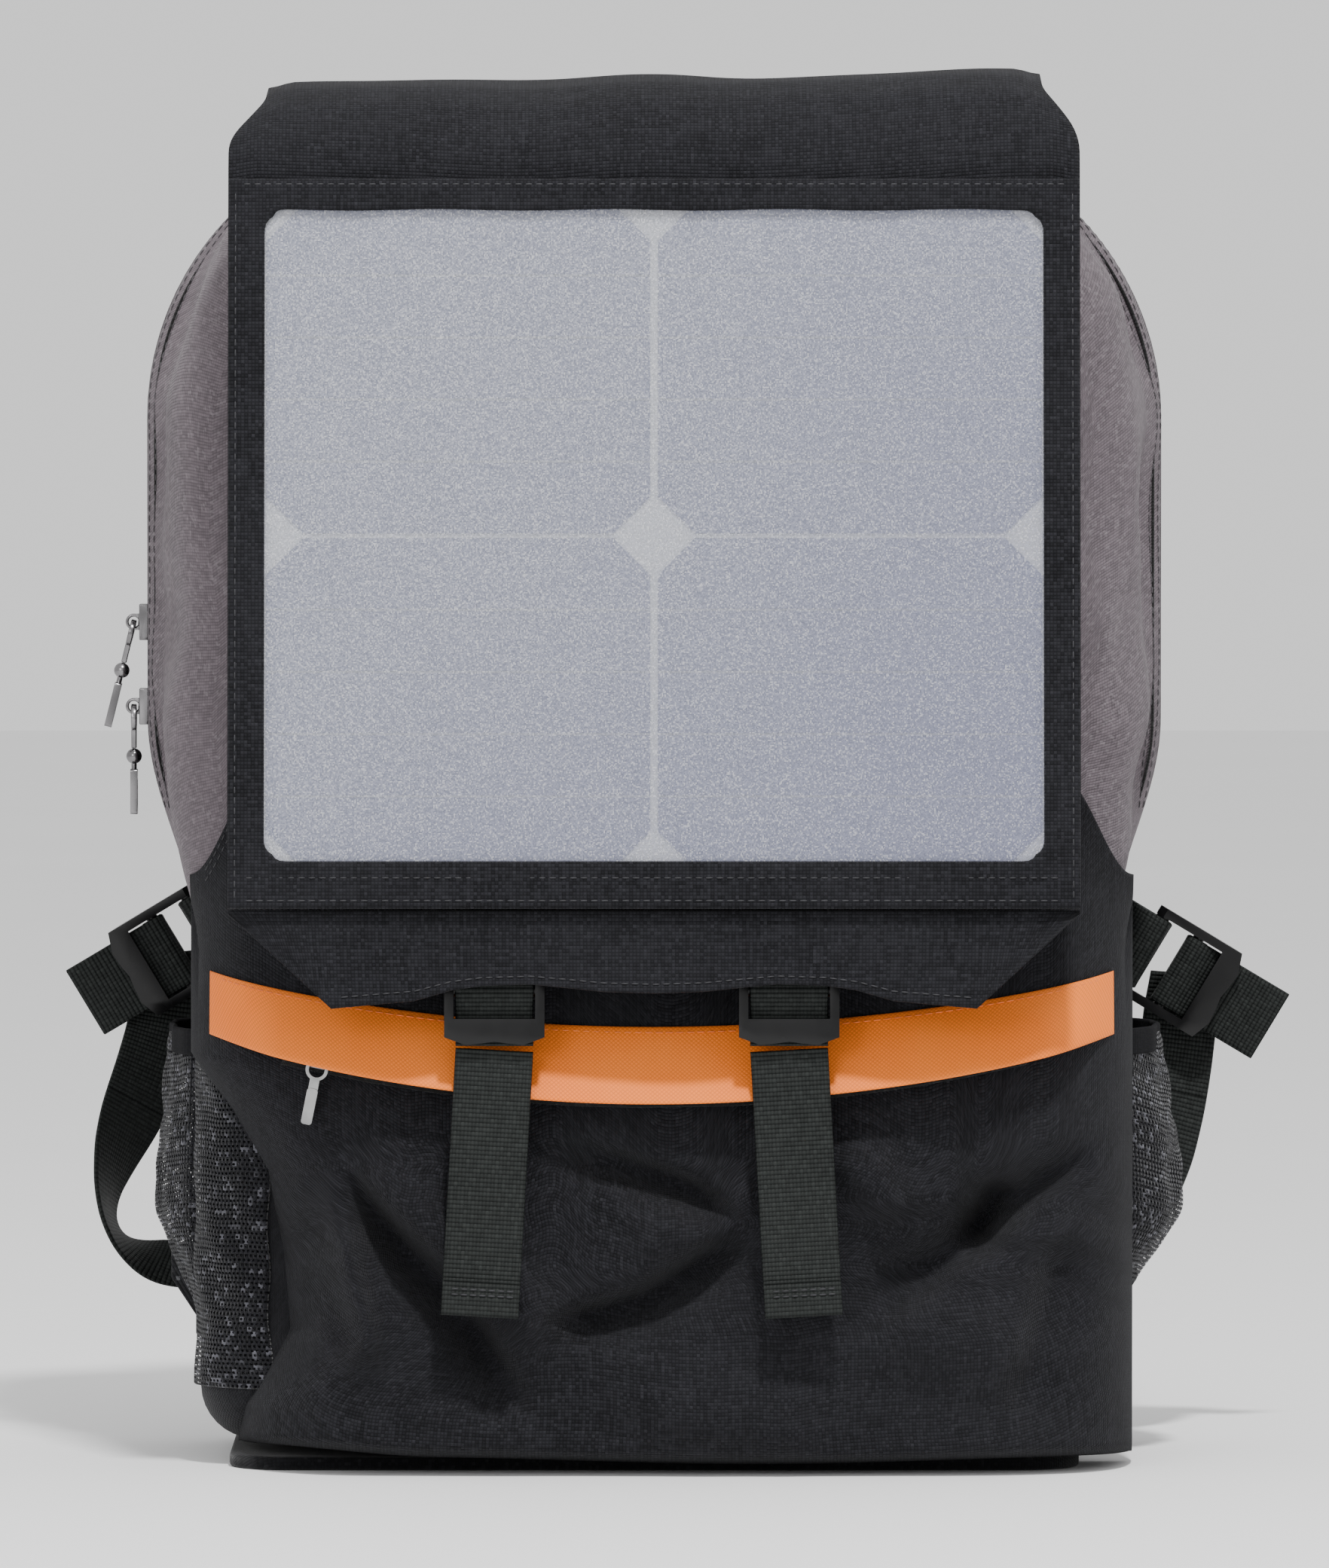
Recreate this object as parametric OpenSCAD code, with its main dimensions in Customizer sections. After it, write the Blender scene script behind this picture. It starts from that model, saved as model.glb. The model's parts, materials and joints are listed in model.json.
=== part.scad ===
// Backpack with a solar panel in its front flap, millimetres.
// Row frame: X to the wearer's right as seen from the front, the front faces -Y, +Z is up,
// and the origin is the middle of the base panel's underside.

/* [Body] */
// Half width of the body from the base to the waist
waist_half_w = 150; // [135:1:165]
// Half width of the body at the belly, where the main zip runs straight
belly_half_w = 168; // [158:1:185]
// Height of the body's top seam above the floor
body_top = 440; // [420:1:470]
// Depth of the body in front of the main zip
front_depth = 60; // [50:1:66]
// Depth of the body behind the main zip
rear_depth = 71; // [60:1:90]
// Thickness of the body fabric with its lining
fabric_t = 2; // [1.5:0.1:3]
// Radius of the two round top corners
top_corner_r = 95; // [70:1:110]
// Thickness of the base panel
base_t = 4.6; // [3:0.1:8]

/* [Front pocket] */
// How far the front pocket's face stands in front of the main zip's plane
pocket_depth = 89; // [84:1:91]
// Height of the front pocket's top hem
pocket_top = 228; // [215:1:245]
// Height of the orange band's middle, at the bag's centre line
band_z = 135; // [128:1:142]
// Height of the orange band at the bag's centre line
band_h = 24.4; // [18:0.2:30]
// How much higher the band's ends are than its middle
band_rise = 18.5; // [10:0.5:25]

/* [Flap and solar panel] */
// Half width of the flap
flap_half_w = 139; // [130:1:145]
// Height of the flap's fold above the body's top seam
flap_rise = 19.5; // [15:0.5:35]
// Length of the flap's flat section, seam to seam
panel_l = 239; // [225:1:245]
// Width of the panel's window in the flap
window_w = 254; // [236:1:262]
// Height of the panel's window in the flap
window_h = 213; // [200:1:220]
// Side of one pseudo-square solar cell across the flap
cell_w = 125; // [110:1:127]

/* [Webbing] */
// Width of every strap's webbing
web_w = 25.4; // [20:0.1:30]
// Thickness of the webbing
web_t = 1.4; // [1:0.1:1.8]
// Distance of the front straps from the bag's centre line
front_strap_x = 48; // [40:1:60]
// Length of a front strap's hanging tail
tail_l = 87; // [60:1:100]

/* [Zips] */
// Width of the slot between the fabric edges in which the main zip shows
zip_slot = 12; // [10:0.5:16]
// Height of the upper slider on the left side's straight run
upper_slider_z = 277; // [274:1:285]
// Height of the lower slider
lower_slider_z = 249; // [246:1:252]

/* [Back and shoulder straps] */
// Thickness of the shoulder strap pads
pad_t = 12; // [8:0.5:14]
// Width of the shoulder strap pads at the top
pad_w = 62; // [50:1:66]
// Thickness of the back pads
back_pad_t = 10; // [6:0.5:11]

/* [Hidden] */
$fn = 40;

// Body
gap = 0.4;
pocket_foot = base_t + gap;
body_bottom = pocket_foot + fabric_t + gap;
base_depth = 118;
zip_y = 5;
front_y = zip_y - front_depth;
rear_y = zip_y + rear_depth;
front_edge_r = 34;
rear_edge_r = 20;
bottom_corner_r = 18;
waist_z = 165;
belly_z = 245;
belly_top_z = body_top - top_corner_r;
body_mid = [0, 235];
zip_foot_z = 208;

// Back
board_t = 3;
board_y = rear_y + gap;
back_face_y = board_y + board_t;
yoke_t = 2.6;
yoke_z = [402, 432];

// Front pocket
pocket_rim_y = -22;
pocket_half_w = waist_half_w + 3;
pocket_face_y = zip_y - pocket_depth;
hem_clear = 0.8;

// Flap: its back face passes through the seam point and leans forward at the bottom
flap_top = body_top + flap_rise;
seam = [-72, body_top - 16];
flap_lean = 6.1;
layer_t = 1.2;
board_flap_t = 1.8;
backsheet_t = 0.8;
cell_t = 0.5;
film_t = 0.6;
frame_t = 1.6;
stack = [0, layer_t, layer_t + board_flap_t + 0.1, layer_t + board_flap_t + backsheet_t + 0.2,
    layer_t + board_flap_t + backsheet_t + cell_t + 0.3];
window_top = 10.5;
hinge = [50, body_top + 1.6];
cell_gap = 2.6;
strip_h = [23.8, 20.3, 20.3, 20.3, 23.8];
cell_corner = 12.4;

// Front straps, buckles and tails: places in the row frame
strap_side = [-front_strap_x - 4, front_strap_x - 4];
buckle_y = -93;
buckle_z = seam[1] - 264;
anchor_z = 152.2;
bar_up = 14;
lip_down = [9, 17.5];
fixed_r = 2.4;
middle_r = 2;
rail_in = web_w / 2 + 0.6;
rail_t = 3.8;
tail_top = 20;
tail_splay = 3.2;
load_end = 30;

// Side locks of the shoulder straps: [x, z] of the middle bar, and the lean of the strap
lock_y = back_face_y + 9.6;
lock_at = [[-163, 163], [177, 156]];
lock_lean = [59, -59];

// Pocket zip: an arc of this radius, in a plane that leans
arc_r = 500;
arc_lean = 68;
arc_mid = [0, -84, 125.5];
arc_end_in = 30.827;
arc_reach = (pocket_half_w - arc_end_in) / arc_r * 180 / PI;
arc_slider = arc_reach - 1.4;

function smooth(t) = let (c = min(1, max(0, t))) c * c * (3 - 2 * c);
function mix(a, b, t) = a + (b - a) * t;
function side_x(z) = mix(waist_half_w, belly_half_w, smooth((z - waist_z) / (belly_z - waist_z)));
function reversed(v) = [for (k = [len(v) - 1:-1:0]) v[k]];
function mirrored(v) = [for (p = reversed(v)) [-p[0], p[1]]];
function arc2(c, r, a0, a1, n) = [for (k = [0:n]) let (a = mix(a0, a1, k / n)) [c[0] + r * cos(a), c[1] + r * sin(a)]];

// Right half of the body's outline from foot height z0 up to the top seam's middle, moved in by inset
function right_arch(inset, z0) = let (r = max(top_corner_r - inset, 4))
    concat([for (z = [z0:(belly_z - z0) / 6:belly_z + 0.01]) [side_x(z) - inset, z]],
        [[belly_half_w - inset, (belly_z + belly_top_z) / 2]],
        arc2([belly_half_w - inset - r, body_top - inset - r], r, 0, 90, 9),
        [[(belly_half_w - inset - r) / 2, body_top - inset]]);
function arch(inset, z0) = let (half = right_arch(inset, z0)) concat(half, mirrored(half));

// The body's closed outline, moved in by inset
function outline(inset) = let (r = max(bottom_corner_r - inset, 3), z0 = body_bottom + inset,
    half = concat(arc2([waist_half_w - inset - r, z0 + r], r, -90, 0, 3),
        [[waist_half_w - inset, 95]], right_arch(inset, waist_z)))
    concat(half, mirrored(half));
// A ring of the body: the outline moved in by inset, shrunk to a share of its size, at depth y
function ring(inset, y, share = 1) =
    [for (p = outline(inset)) let (q = body_mid + (p - body_mid) * share) [q[0], y, q[1]]];
// The shell's rim on side s of the zip: a seam below the zip's foot, half the slot away above it
function rim_ring(inset, s) = [for (p = outline(inset))
    [p[0], zip_y + s * mix(gap / 2, zip_slot / 2, smooth((p[1] - zip_foot_z + 18) / 16)), p[1]]];

// Solid between an outer and an inner stack of closed rings, joined at the rim and capped at the last ring
module ring_shell(outer, inner) {
    n = len(outer[0]);
    m = len(outer);
    band = function (base, flip) [for (k = [0:m - 2], j = [0:n - 1]) let (a = base + k * n + j,
        b = base + k * n + (j + 1) % n, q = [a, b, b + n, a + n]) flip ? reversed(q) : q];
    cap = function (base, flip) let (q = [for (j = [0:n - 1]) base + (m - 1) * n + j]) flip ? reversed(q) : q;
    rim = [for (j = [0:n - 1]) [j, m * n + j, m * n + (j + 1) % n, (j + 1) % n]];
    faces = concat(band(0, false), [cap(0, false)], band(m * n, true), [cap(m * n, true)], rim);
    polyhedron([for (r = concat(outer, inner), p = r) p], [for (f = faces) reversed(f)], convexity = 6);
}

// Solid between two grids of points, row by row, closed along its four edges
module sheet_solid(front, back) {
    m = len(front);
    n = len(front[0]);
    s = m * n;
    at = function (k, j) k * n + j;
    quads = [for (k = [0:m - 2], j = [0:n - 2]) [at(k, j), at(k, j + 1), at(k + 1, j + 1), at(k + 1, j)]];
    backs = [for (q = quads) [for (i = reversed(q)) i + s]];
    feet = [for (j = [0:n - 2]) [at(0, j + 1), at(0, j), at(0, j) + s, at(0, j + 1) + s]];
    heads = [for (j = [0:n - 2]) [at(m - 1, j), at(m - 1, j + 1), at(m - 1, j + 1) + s, at(m - 1, j) + s]];
    lefts = [for (k = [0:m - 2]) [at(k, 0), at(k + 1, 0), at(k + 1, 0) + s, at(k, 0) + s]];
    rights = [for (k = [0:m - 2]) [at(k + 1, n - 1), at(k, n - 1), at(k, n - 1) + s, at(k + 1, n - 1) + s]];
    faces = concat(quads, backs, feet, heads, lefts, rights);
    polyhedron([for (g = [front, back], r = g, p = r) p], [for (f = faces) reversed(f)], convexity = 6);
}

// Tape of width w and thickness t along a path of [point, direction of its width]
module ribbon(path, w, t) {
    n = len(path);
    way = function (k) path[min(k + 1, n - 1)][0] - path[max(k - 1, 0)][0];
    across = function (k) path[k][1] / norm(path[k][1]);
    face = function (k) let (c = cross(way(k), across(k))) c / norm(c);
    width = function (k) is_undef(path[k][2]) ? w : path[k][2];
    points = [for (k = [0:n - 1]) let (p = path[k][0], a = across(k) * width(k) / 2, b = face(k) * t / 2)
        each [p - a - b, p + a - b, p + a + b, p - a + b]];
    sides = [for (k = [0:n - 2], j = [0:3]) let (a = k * 4, i = (j + 1) % 4) [a + j, a + i, a + 4 + i, a + 4 + j]];
    faces = concat([[3, 2, 1, 0]], sides, [[for (j = [0:3]) (n - 1) * 4 + j]]);
    polyhedron(points, [for (f = faces) reversed(f)], convexity = 6);
}

// Outline of a strip of thickness t that follows a flat path
function strip(path, t) = let (n = len(path),
    side = function (k, s) let (d = path[min(k + 1, n - 1)] - path[max(k - 1, 0)], u = d / norm(d))
        path[k] + [-u[1], u[0]] * s * t / 2)
    concat([for (k = [0:n - 1]) side(k, 1)], [for (k = [n - 1:-1:0]) side(k, -1)]);

// Extrudes a [y, z] outline along X, centred
module along_x(l) { rotate([90, 0, 90]) translate([0, 0, -l / 2]) linear_extrude(l) children(); }
// Extrudes an [x, z] outline along Y, from y0 to y1
module along_y(y0, y1) { translate([0, y1, 0]) rotate([90, 0, 0]) linear_extrude(y1 - y0) children(); }
module rounded_rect(w, h, r) {
    square([w - 2 * r, h], center = true);
    square([w, h - 2 * r], center = true);
    for (x = [-1, 1], y = [-1, 1]) translate([x * (w / 2 - r), y * (h / 2 - r)]) circle(r);
}

// ---- Body ----
module base_panel() {
    color([0.05, 0.05, 0.055]) linear_extrude(base_t) rounded_rect(2 * waist_half_w - 20, base_depth, 20);
}
module main_front_shell() {
    e = front_edge_r;
    y1 = front_y + 4 + e - fabric_t * 2;
    wall = function (t) concat([rim_ring(t, -1), ring(t, y1)],
        [for (a = [22.5, 45, 67.5, 90]) ring(t + (e - t) * (1 - cos(a)), y1 - (e - 4 - t) * sin(a))],
        [ring(e, front_y + 1.3 + t, 0.72), ring(e, front_y + t, 0.42)]);
    color([0.42, 0.39, 0.41]) ring_shell(wall(0), wall(fabric_t));
}
module main_rear_shell() {
    e = rear_edge_r;
    wall = function (t) concat([rim_ring(t, 1), ring(t, rear_y - e)],
        [for (a = [30, 60, 90]) ring(t + (e - t) * (1 - cos(a)), rear_y - e + (e - t) * sin(a))]);
    color([0.40, 0.37, 0.39]) ring_shell(wall(fabric_t), wall(0));
}
module back_panel() {
    color([0.04, 0.04, 0.045]) along_y(board_y, back_face_y) polygon(outline(rear_edge_r - 6));
}
module back_stiffener() {
    color([0.8, 0.8, 0.78]) translate([0, rear_y - fabric_t - 2.4, body_top / 2 + 5])
        rotate([90, 0, 0]) translate([0, 0, -1.6]) linear_extrude(1.6)
            rounded_rect(2 * (waist_half_w - 32), body_top - 80, 24);
}
module laptop_sleeve() {
    sleeve_y = rear_y - 34;
    half = waist_half_w - 28;
    wall = 3;
    color([0.12, 0.12, 0.13]) translate([0, sleeve_y, 40]) difference() {
        translate([-half, 0, 0]) cube([2 * half, 24, 260]);
        translate([wall - half, wall, wall]) cube([2 * (half - wall), 24 - 2 * wall, 260]);
    }
}
module back_pad(s) {
    color([0.05, 0.05, 0.055]) translate([s * 68, back_face_y + gap, 245])
        rotate([-90, 0, 0]) hull() {
            linear_extrude(1) rounded_rect(86, 276, 26);
            linear_extrude(back_pad_t) rounded_rect(70, 258, 20);
        }
}
module lumbar_pad() {
    color([0.05, 0.05, 0.055]) translate([0, back_face_y + gap, 66])
        rotate([-90, 0, 0]) hull() {
            linear_extrude(1) rounded_rect(214, 66, 20);
            linear_extrude(back_pad_t) rounded_rect(200, 50, 16);
        }
}
module strap_yoke() {
    color([0.04, 0.04, 0.045]) along_y(back_face_y + gap, back_face_y + gap + yoke_t)
        translate([0, (yoke_z[0] + yoke_z[1]) / 2]) rounded_rect(196, yoke_z[1] - yoke_z[0], 5);
}
// Grab loop that stands between the shoulder straps: its ends are sewn to the yoke
haul_pin = [back_face_y + 12.6, 424];
module haul_loop() {
    half = 36;
    path = [for (k = [0:16]) let (a = 180 * k / 16, c = cos(a), d = sin(a))
        [[half * sign(c) * pow(abs(c), 0.5), haul_pin[0] + 4 * pow(d, 0.8), haul_pin[1] + 31 * pow(d, 0.7)], [0, 1, 0]]];
    color([0.04, 0.04, 0.045]) ribbon(path, 16, 2.2);
}

// ---- Main zip ----
module arch_strip(out_in, y0, y1) {
    along_y(y0, y1) polygon(concat(arch(out_in[0], zip_foot_z), reversed(arch(out_in[1], zip_foot_z))));
}
tape_inset = [fabric_t + gap, fabric_t + gap + 1];
coil_half_w = 2.6;
coil_proud = 1.9;
module main_zip_tape() {
    color([0.03, 0.03, 0.03]) arch_strip(tape_inset, zip_y - zip_slot / 2 - 6, zip_y + zip_slot / 2 + 6);
}
module main_zip_coil() {
    color([0.05, 0.05, 0.05])
        arch_strip([tape_inset[0] - coil_proud, tape_inset[0] - 0.05], zip_y - coil_half_w, zip_y + coil_half_w);
}

// Zip slider. Local frame: the zip runs along Z, its outside is -Y, and the pull's pin is at the origin
pin_up = 1.9;
eye_r = 1.7;
slider_w = 9.4;
slider_l = 12;
slider_h = 3;
module slider(foot, turn = 0) {
    color([0.75, 0.75, 0.77]) {
        difference() {
            union() {
                translate([-slider_w / 2, pin_up, -slider_l / 2]) cube([slider_w, slider_h, slider_l]);
                rotate([0, turn, 0]) rotate([0, 90, 0]) cylinder(r = eye_r + 1, h = 2.6, center = true);
                rotate([0, turn, 0]) translate([-1.3, 0, -eye_r - 1]) cube([2.6, pin_up + 0.5, 2 * eye_r + 2]);
            }
            rotate([0, turn, 0]) rotate([0, 90, 0]) cylinder(r = eye_r, h = 4, center = true);
        }
        for (x = [-1, 1]) translate([x * (slider_w / 2 - 0.8) - 0.8, pin_up + slider_h - 0.01, -slider_l / 2 + 1])
            cube([1.6, foot, slider_l - 3]);
    }
}
// Pull link: a ring through the slider's eye, hanging down -Z, with a stem under it
ring_mid = 3.85;
ring_in = 3.1;
ring_out = 4.6;
link_t = 1.8;
stem_end = 14;
module link() {
    color([0.72, 0.72, 0.74]) {
        along_y(-link_t / 2, link_t / 2) translate([0, -ring_mid]) difference() {
            circle(ring_out);
            circle(ring_in);
        }
        along_y(-link_t / 2, link_t / 2) polygon([[-2.2, -ring_mid - ring_in - 0.3], [2.2, -ring_mid - ring_in - 0.3],
            [1, -stem_end], [-1, -stem_end]]);
    }
}
ball_r = 2.6;
tab_size = [5.6, 2.4, 15];
ball_z = -stem_end - 0.05 - ball_r;
module ball_tab() {
    color([0.7, 0.7, 0.72]) {
        translate([0, 0, ball_z]) sphere(ball_r);
        translate([0, 0, ball_z - ball_r - 2]) cylinder(r = 0.9, h = 3);
        translate([0, 0, ball_z - ball_r - 1.6 - tab_size[2] / 2]) rotate([90, 0, 0])
            translate([0, 0, -tab_size[1] / 2]) linear_extrude(tab_size[1]) difference() {
                rounded_rect(tab_size[0], tab_size[2], 0.9);
                translate([0, -0.6]) rounded_rect(2.4, 9.6, 0.8);
            }
    }
}
// Left side of the body: local -Y turns to -X
slider_x = -(belly_half_w - tape_inset[0] + coil_proud + 0.3 + slider_h + pin_up);
upper_lean = 14;
module on_left(z, lean = 0) { translate([slider_x, zip_y, z]) rotate([0, 0, -90]) rotate([-lean, 0, 0]) children(); }
module main_zip_slider_upper() { on_left(upper_slider_z) slider(coil_proud - 0.4); }
module main_zip_slider_lower() { on_left(lower_slider_z) slider(coil_proud - 0.4); }
module pull_link_upper() { on_left(upper_slider_z, upper_lean) link(); }
module pull_link_lower() { on_left(lower_slider_z) link(); }
module pull_tab_upper() { on_left(upper_slider_z, upper_lean) ball_tab(); }
module pull_tab_lower() { on_left(lower_slider_z) ball_tab(); }

// ---- Front pocket ----
// Outer depth of the body's front at distance i inside its side, in the lower body
function body_front(i) = let (e = front_edge_r, y1 = front_y + 4 + e - fabric_t * 2,
    c = 1 - min(1, max(0, i / e)))
    y1 - (e - 4) * sqrt(max(0, 1 - c * c)) - mix(0, 3.7, smooth((i - e) / 60));
function pocket_top_z(x) = pocket_top - 33 * smooth((abs(x) - pocket_half_w + 24) / 24);
// Point of the pocket's wall at u across (-1 to 1), v up (0 to 1), t inside its face
function pocket_point(u, v, t) = let (x = (pocket_half_w - t) * u,
    z = mix(pocket_foot + t, pocket_top_z(x), v),
    across = pow(max(0, 1 - pow(abs(u), 7)), 0.4),
    foot = pow(max(0, 1 - pow(1 - min(1, v / 0.16), 2.6)), 0.5),
    belly = 1 - 0.085 * smooth((z - 100) / 40),
    face = pocket_rim_y + (pocket_face_y + t - pocket_rim_y) * across * foot * belly,
    hem = min(pocket_rim_y, body_front(side_x(z) - abs(x)) - hem_clear - fabric_t + t))
    [x, mix(face, hem, smooth((z - 128) / (pocket_top_z(x) - 128))), z];
function spread(n) = [for (k = [0:n]) let (s = 2 * k / n - 1) sin(90 * s)];
pocket_u = spread(30);
pocket_v = concat([0, 0.01, 0.03, 0.06, 0.1, 0.16], [for (k = [1:11]) 0.16 + 0.84 * k / 11]);
module front_pocket() {
    grid = function (t) [for (v = pocket_v) [for (u = pocket_u) pocket_point(u, v, t)]];
    color([0.07, 0.07, 0.075]) sheet_solid(grid(0), grid(fabric_t));
}
function pocket_y(x, z) = pocket_point(x / pocket_half_w, (z - pocket_foot) / (pocket_top_z(x) - pocket_foot), 0)[1];

// Orange band: its top edge is sewn to the pocket, and its lower edge stands off over the zip
band_t = 1.4;
band_half_l = pocket_half_w - 7;
function band_mid(x) = band_z + band_rise * pow(abs(x) / (band_half_l - 1), 2);
function band_point(x, v, t) = let (h = band_h * (1 - 0.16 * pow(abs(x) / (band_half_l - 1), 2)),
    z = band_mid(x) + h * (v - 0.5), ease = 1 - smooth((abs(x) - band_half_l + 24) / 23))
    [x, pocket_y(x, z) - 0.6 - 10.8 * (1 - v) * ease - t, z];
module orange_band() {
    grid = function (t) [for (v = [0:0.25:1]) [for (u = spread(32)) band_point(u * band_half_l, v, t)]];
    color([0.95, 0.42, 0.16]) sheet_solid(grid(band_t), grid(0));
}

// Pocket zip, on an arc. Local frame of the arc: its axis is Z and the arc's middle is at -Y
module on_arc(a = 0) {
    translate(arc_mid) rotate([arc_lean, 0, 0]) translate([0, arc_r, 0])
        rotate([0, 0, a]) translate([0, -arc_r, 0]) children();
}
module arc_sweep() {
    translate([0, arc_r, 0]) rotate([0, 0, -90 - arc_reach]) rotate_extrude(angle = 2 * arc_reach, $fn = 360)
        translate([arc_r, 0]) rotate([0, 0, arc_lean - 90]) children();
}
module pocket_zip_tape() { color([0.03, 0.03, 0.03]) on_arc() arc_sweep() translate([-4.5, -1.5]) square([9, 0.8]); }
module pocket_zip_coil() { color([0.05, 0.05, 0.05]) on_arc() arc_sweep() translate([-1.85, -0.5]) square([3.7, 1.35]); }

pocket_pin = 4.54;
small = 0.62;
module on_pocket_slider() { on_arc(-arc_slider) rotate([-arc_lean, 0, 0]) translate([0, -pocket_pin, 0]) children(); }
module pocket_zip_slider() { on_pocket_slider() rotate([0, 90, 0]) scale(small) slider(1, 90); }
module pocket_zip_pull() {
    color([0.05, 0.05, 0.05]) on_pocket_slider() rotate([4, 0, 0]) {
        along_y(-0.6, 0.6) translate([0, -3.15]) difference() {
            circle(3.7);
            circle(2.6);
        }
        along_y(-0.6, 0.6) translate([-1.6, -21]) square([3.2, 15]);
        along_y(-1.1, 1.1) translate([0, -15.5]) rounded_rect(3.6, 12, 1);
    }
}

// ---- Side pockets of mesh, corner tabs and strap anchors ----
mesh_y = [-17, rear_y - rear_edge_r];
mesh_z = [42, 142];
mesh_t = 1;
// Point of a side pocket at u from its front seam to its rear seam, v up, bulging out by b
function mesh_point(s, b, u, v, t) = let (z = mix(mesh_z[0], mesh_z[1], v),
    out = b * smooth(v / 0.42) * (1 - 0.3 * smooth((v - 0.5) / 0.5)))
    [s * (side_x(z) + gap + t + out * pow(sin(180 * u), 0.6)), mix(mesh_y[0], mesh_y[1], u), z];
module mesh_pocket(s, b) {
    grid = function (t) [for (v = [0:0.1:1]) [for (u = [0:0.0625:1]) mesh_point(s, b, s > 0 ? u : 1 - u, v, t)]];
    color([0.04, 0.04, 0.045]) sheet_solid(grid(mesh_t), grid(0));
}
module corner_tab(s) {
    x = [waist_half_w - 2, waist_half_w + 12.5];
    color([0.05, 0.05, 0.055]) along_y(back_face_y - 13.4, back_face_y - 11)
        polygon([[s * x[0], 66], [s * x[0], 32], [s * x[1], 54], [s * x[1], 66]]);
}
module strap_anchors() {
    for (x = strap_side) color([0.04, 0.04, 0.045]) translate([x, 0, 0]) along_x(web_w)
        polygon(strip([[-77.2, anchor_z + 0.8], [-80.5, anchor_z], [-87.4, anchor_z]], 2.2));
}

// ---- Flap ----
module on_panel() { translate([0, seam[0], seam[1]]) rotate([-flap_lean, 0, 0]) children(); }
module layer(y, t, w, h, z, r) { translate([0, 0, z]) rotate([90, 0, 0]) translate([0, 0, y]) linear_extrude(t) rounded_rect(w, h, r); }
down = [-sin(flap_lean), -cos(flap_lean)];
module flap_cover() {
    b = body_top;
    roof = [hinge, [45, b + 6], [35, b + 11], [18, b + 15.5], [0, flap_top - layer_t], [-24, flap_top - layer_t],
        [-45, b + 16], [-57, b + 10.6], [-66, b + 1], [-71, b - 10], seam, seam + down * panel_l];
    mid = [for (p = roof) p - [layer_t / 2, 0] * (p[0] < -60 ? 1 : 0)];
    color([0.07, 0.07, 0.075]) along_x(2 * flap_half_w) polygon(strip(mid, layer_t));
}
L = [for (k = [0:4]) [1.3, 3.2, 4.1, 4.75, 5.5][k]];
module flap_stiffener() {
    color([0.85, 0.85, 0.82]) on_panel() layer(L[0], board_flap_t, 266, panel_l - 10, -panel_l / 2, 8);
}
module panel_backsheet() {
    color([0.08, 0.09, 0.14]) on_panel() layer(L[1], backsheet_t, 264, window_h + 9, -window_top - window_h / 2, 4);
}
function stops(k) = k == 0 ? 0 : strip_h[k - 1] + stops(k - 1);
module solar_cells() {
    cell_h = stops(5);
    w = cell_w / 2;
    h = cell_h / 2;
    c = cell_corner;
    corners = [[-w + c, -h], [w - c, -h], [w, -h + c], [w, h - c], [w - c, h], [-w + c, h], [-w, h - c], [-w, -h + c]];
    color([0.28, 0.31, 0.42]) on_panel() for (i = [-1, 1], j = [-1, 1])
        translate([i * (w + cell_gap / 2), 0, -window_top - window_h / 2 + j * (h + 0.4)])
            for (k = [0:4]) along_y(-L[2] - cell_t, -L[2]) intersection() {
                polygon(corners);
                translate([-w, -h + stops(k) + 0.4]) square([2 * w, strip_h[k] - 0.8]);
            }
}
module cell_ribbons() {
    color([0.75, 0.76, 0.78]) on_panel() for (s = [-1, 1]) {
        layer_x = s * (cell_w + cell_gap / 2 + 2);
        translate([layer_x - 1.1, -L[2] - 0.3, -window_top - window_h]) cube([2.2, 0.3, window_h + 2]);
        translate([min(layer_x + s * 1.1, s * 6), -L[2] - 0.3, -window_top + 3.4]) cube([abs(layer_x + s * 1.1) - 6, 0.3, 2.2]);
    }
}
module panel_film() {
    color([0.62, 0.66, 0.76, 0.4]) on_panel() layer(L[3], film_t, 263, window_h + 8, -window_top - window_h / 2, 5);
}
module flap_frame() {
    color([0.07, 0.07, 0.075]) on_panel() along_y(-L[4] - frame_t, -L[4]) difference() {
        translate([-flap_half_w, -panel_l]) square([2 * flap_half_w, panel_l]);
        translate([0, -window_top - window_h / 2]) rounded_rect(window_w, window_h, 7);
    }
}
module flap_tongue() {
    half = [[0, -30.5], [16, -30], [30, -25.5], [40, -23.5], [56, -23.5], [66, -25.5], [78, -31], [105, -31.5],
        [flap_half_w, -1], [flap_half_w, -gap]];
    color([0.07, 0.07, 0.075]) on_panel() translate([0, 0, -panel_l]) along_y(-3.4, -1)
        polygon(concat(half, mirrored(half)));
}

// Charge controller behind the panel, its USB-A socket facing down. Case walls and posts
case_w = 74;
case_h = 50;
case_in = 12;
case_mid = -64;
wall_t = 1.6;
post_r = 3;
screw_r = 1.1;
posts = [for (x = [-1, 1], z = [-1, 1]) [x * (case_w / 2 - 5), z * (case_h / 2 - 5)]];
usb_y = 6.6;
module on_case() { on_panel() translate([0, gap, case_mid]) children(); }
module controller_case() {
    color([0.04, 0.04, 0.045]) on_case() difference() {
        along_y(0, case_in) rounded_rect(case_w, case_h, 4);
        difference() {
            along_y(wall_t, case_in + 1) rounded_rect(case_w - 2 * wall_t, case_h - 2 * wall_t, 2.6);
            for (p = posts) along_y(0, case_in + 1) translate(p) circle(post_r);
        }
        for (p = posts) along_y(wall_t, case_in + 1) translate(p) circle(screw_r + 0.05);
        translate([-7, usb_y - 3.3, -case_h / 2 - 1]) cube([14, 6.6, 5]);
    }
}
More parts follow.
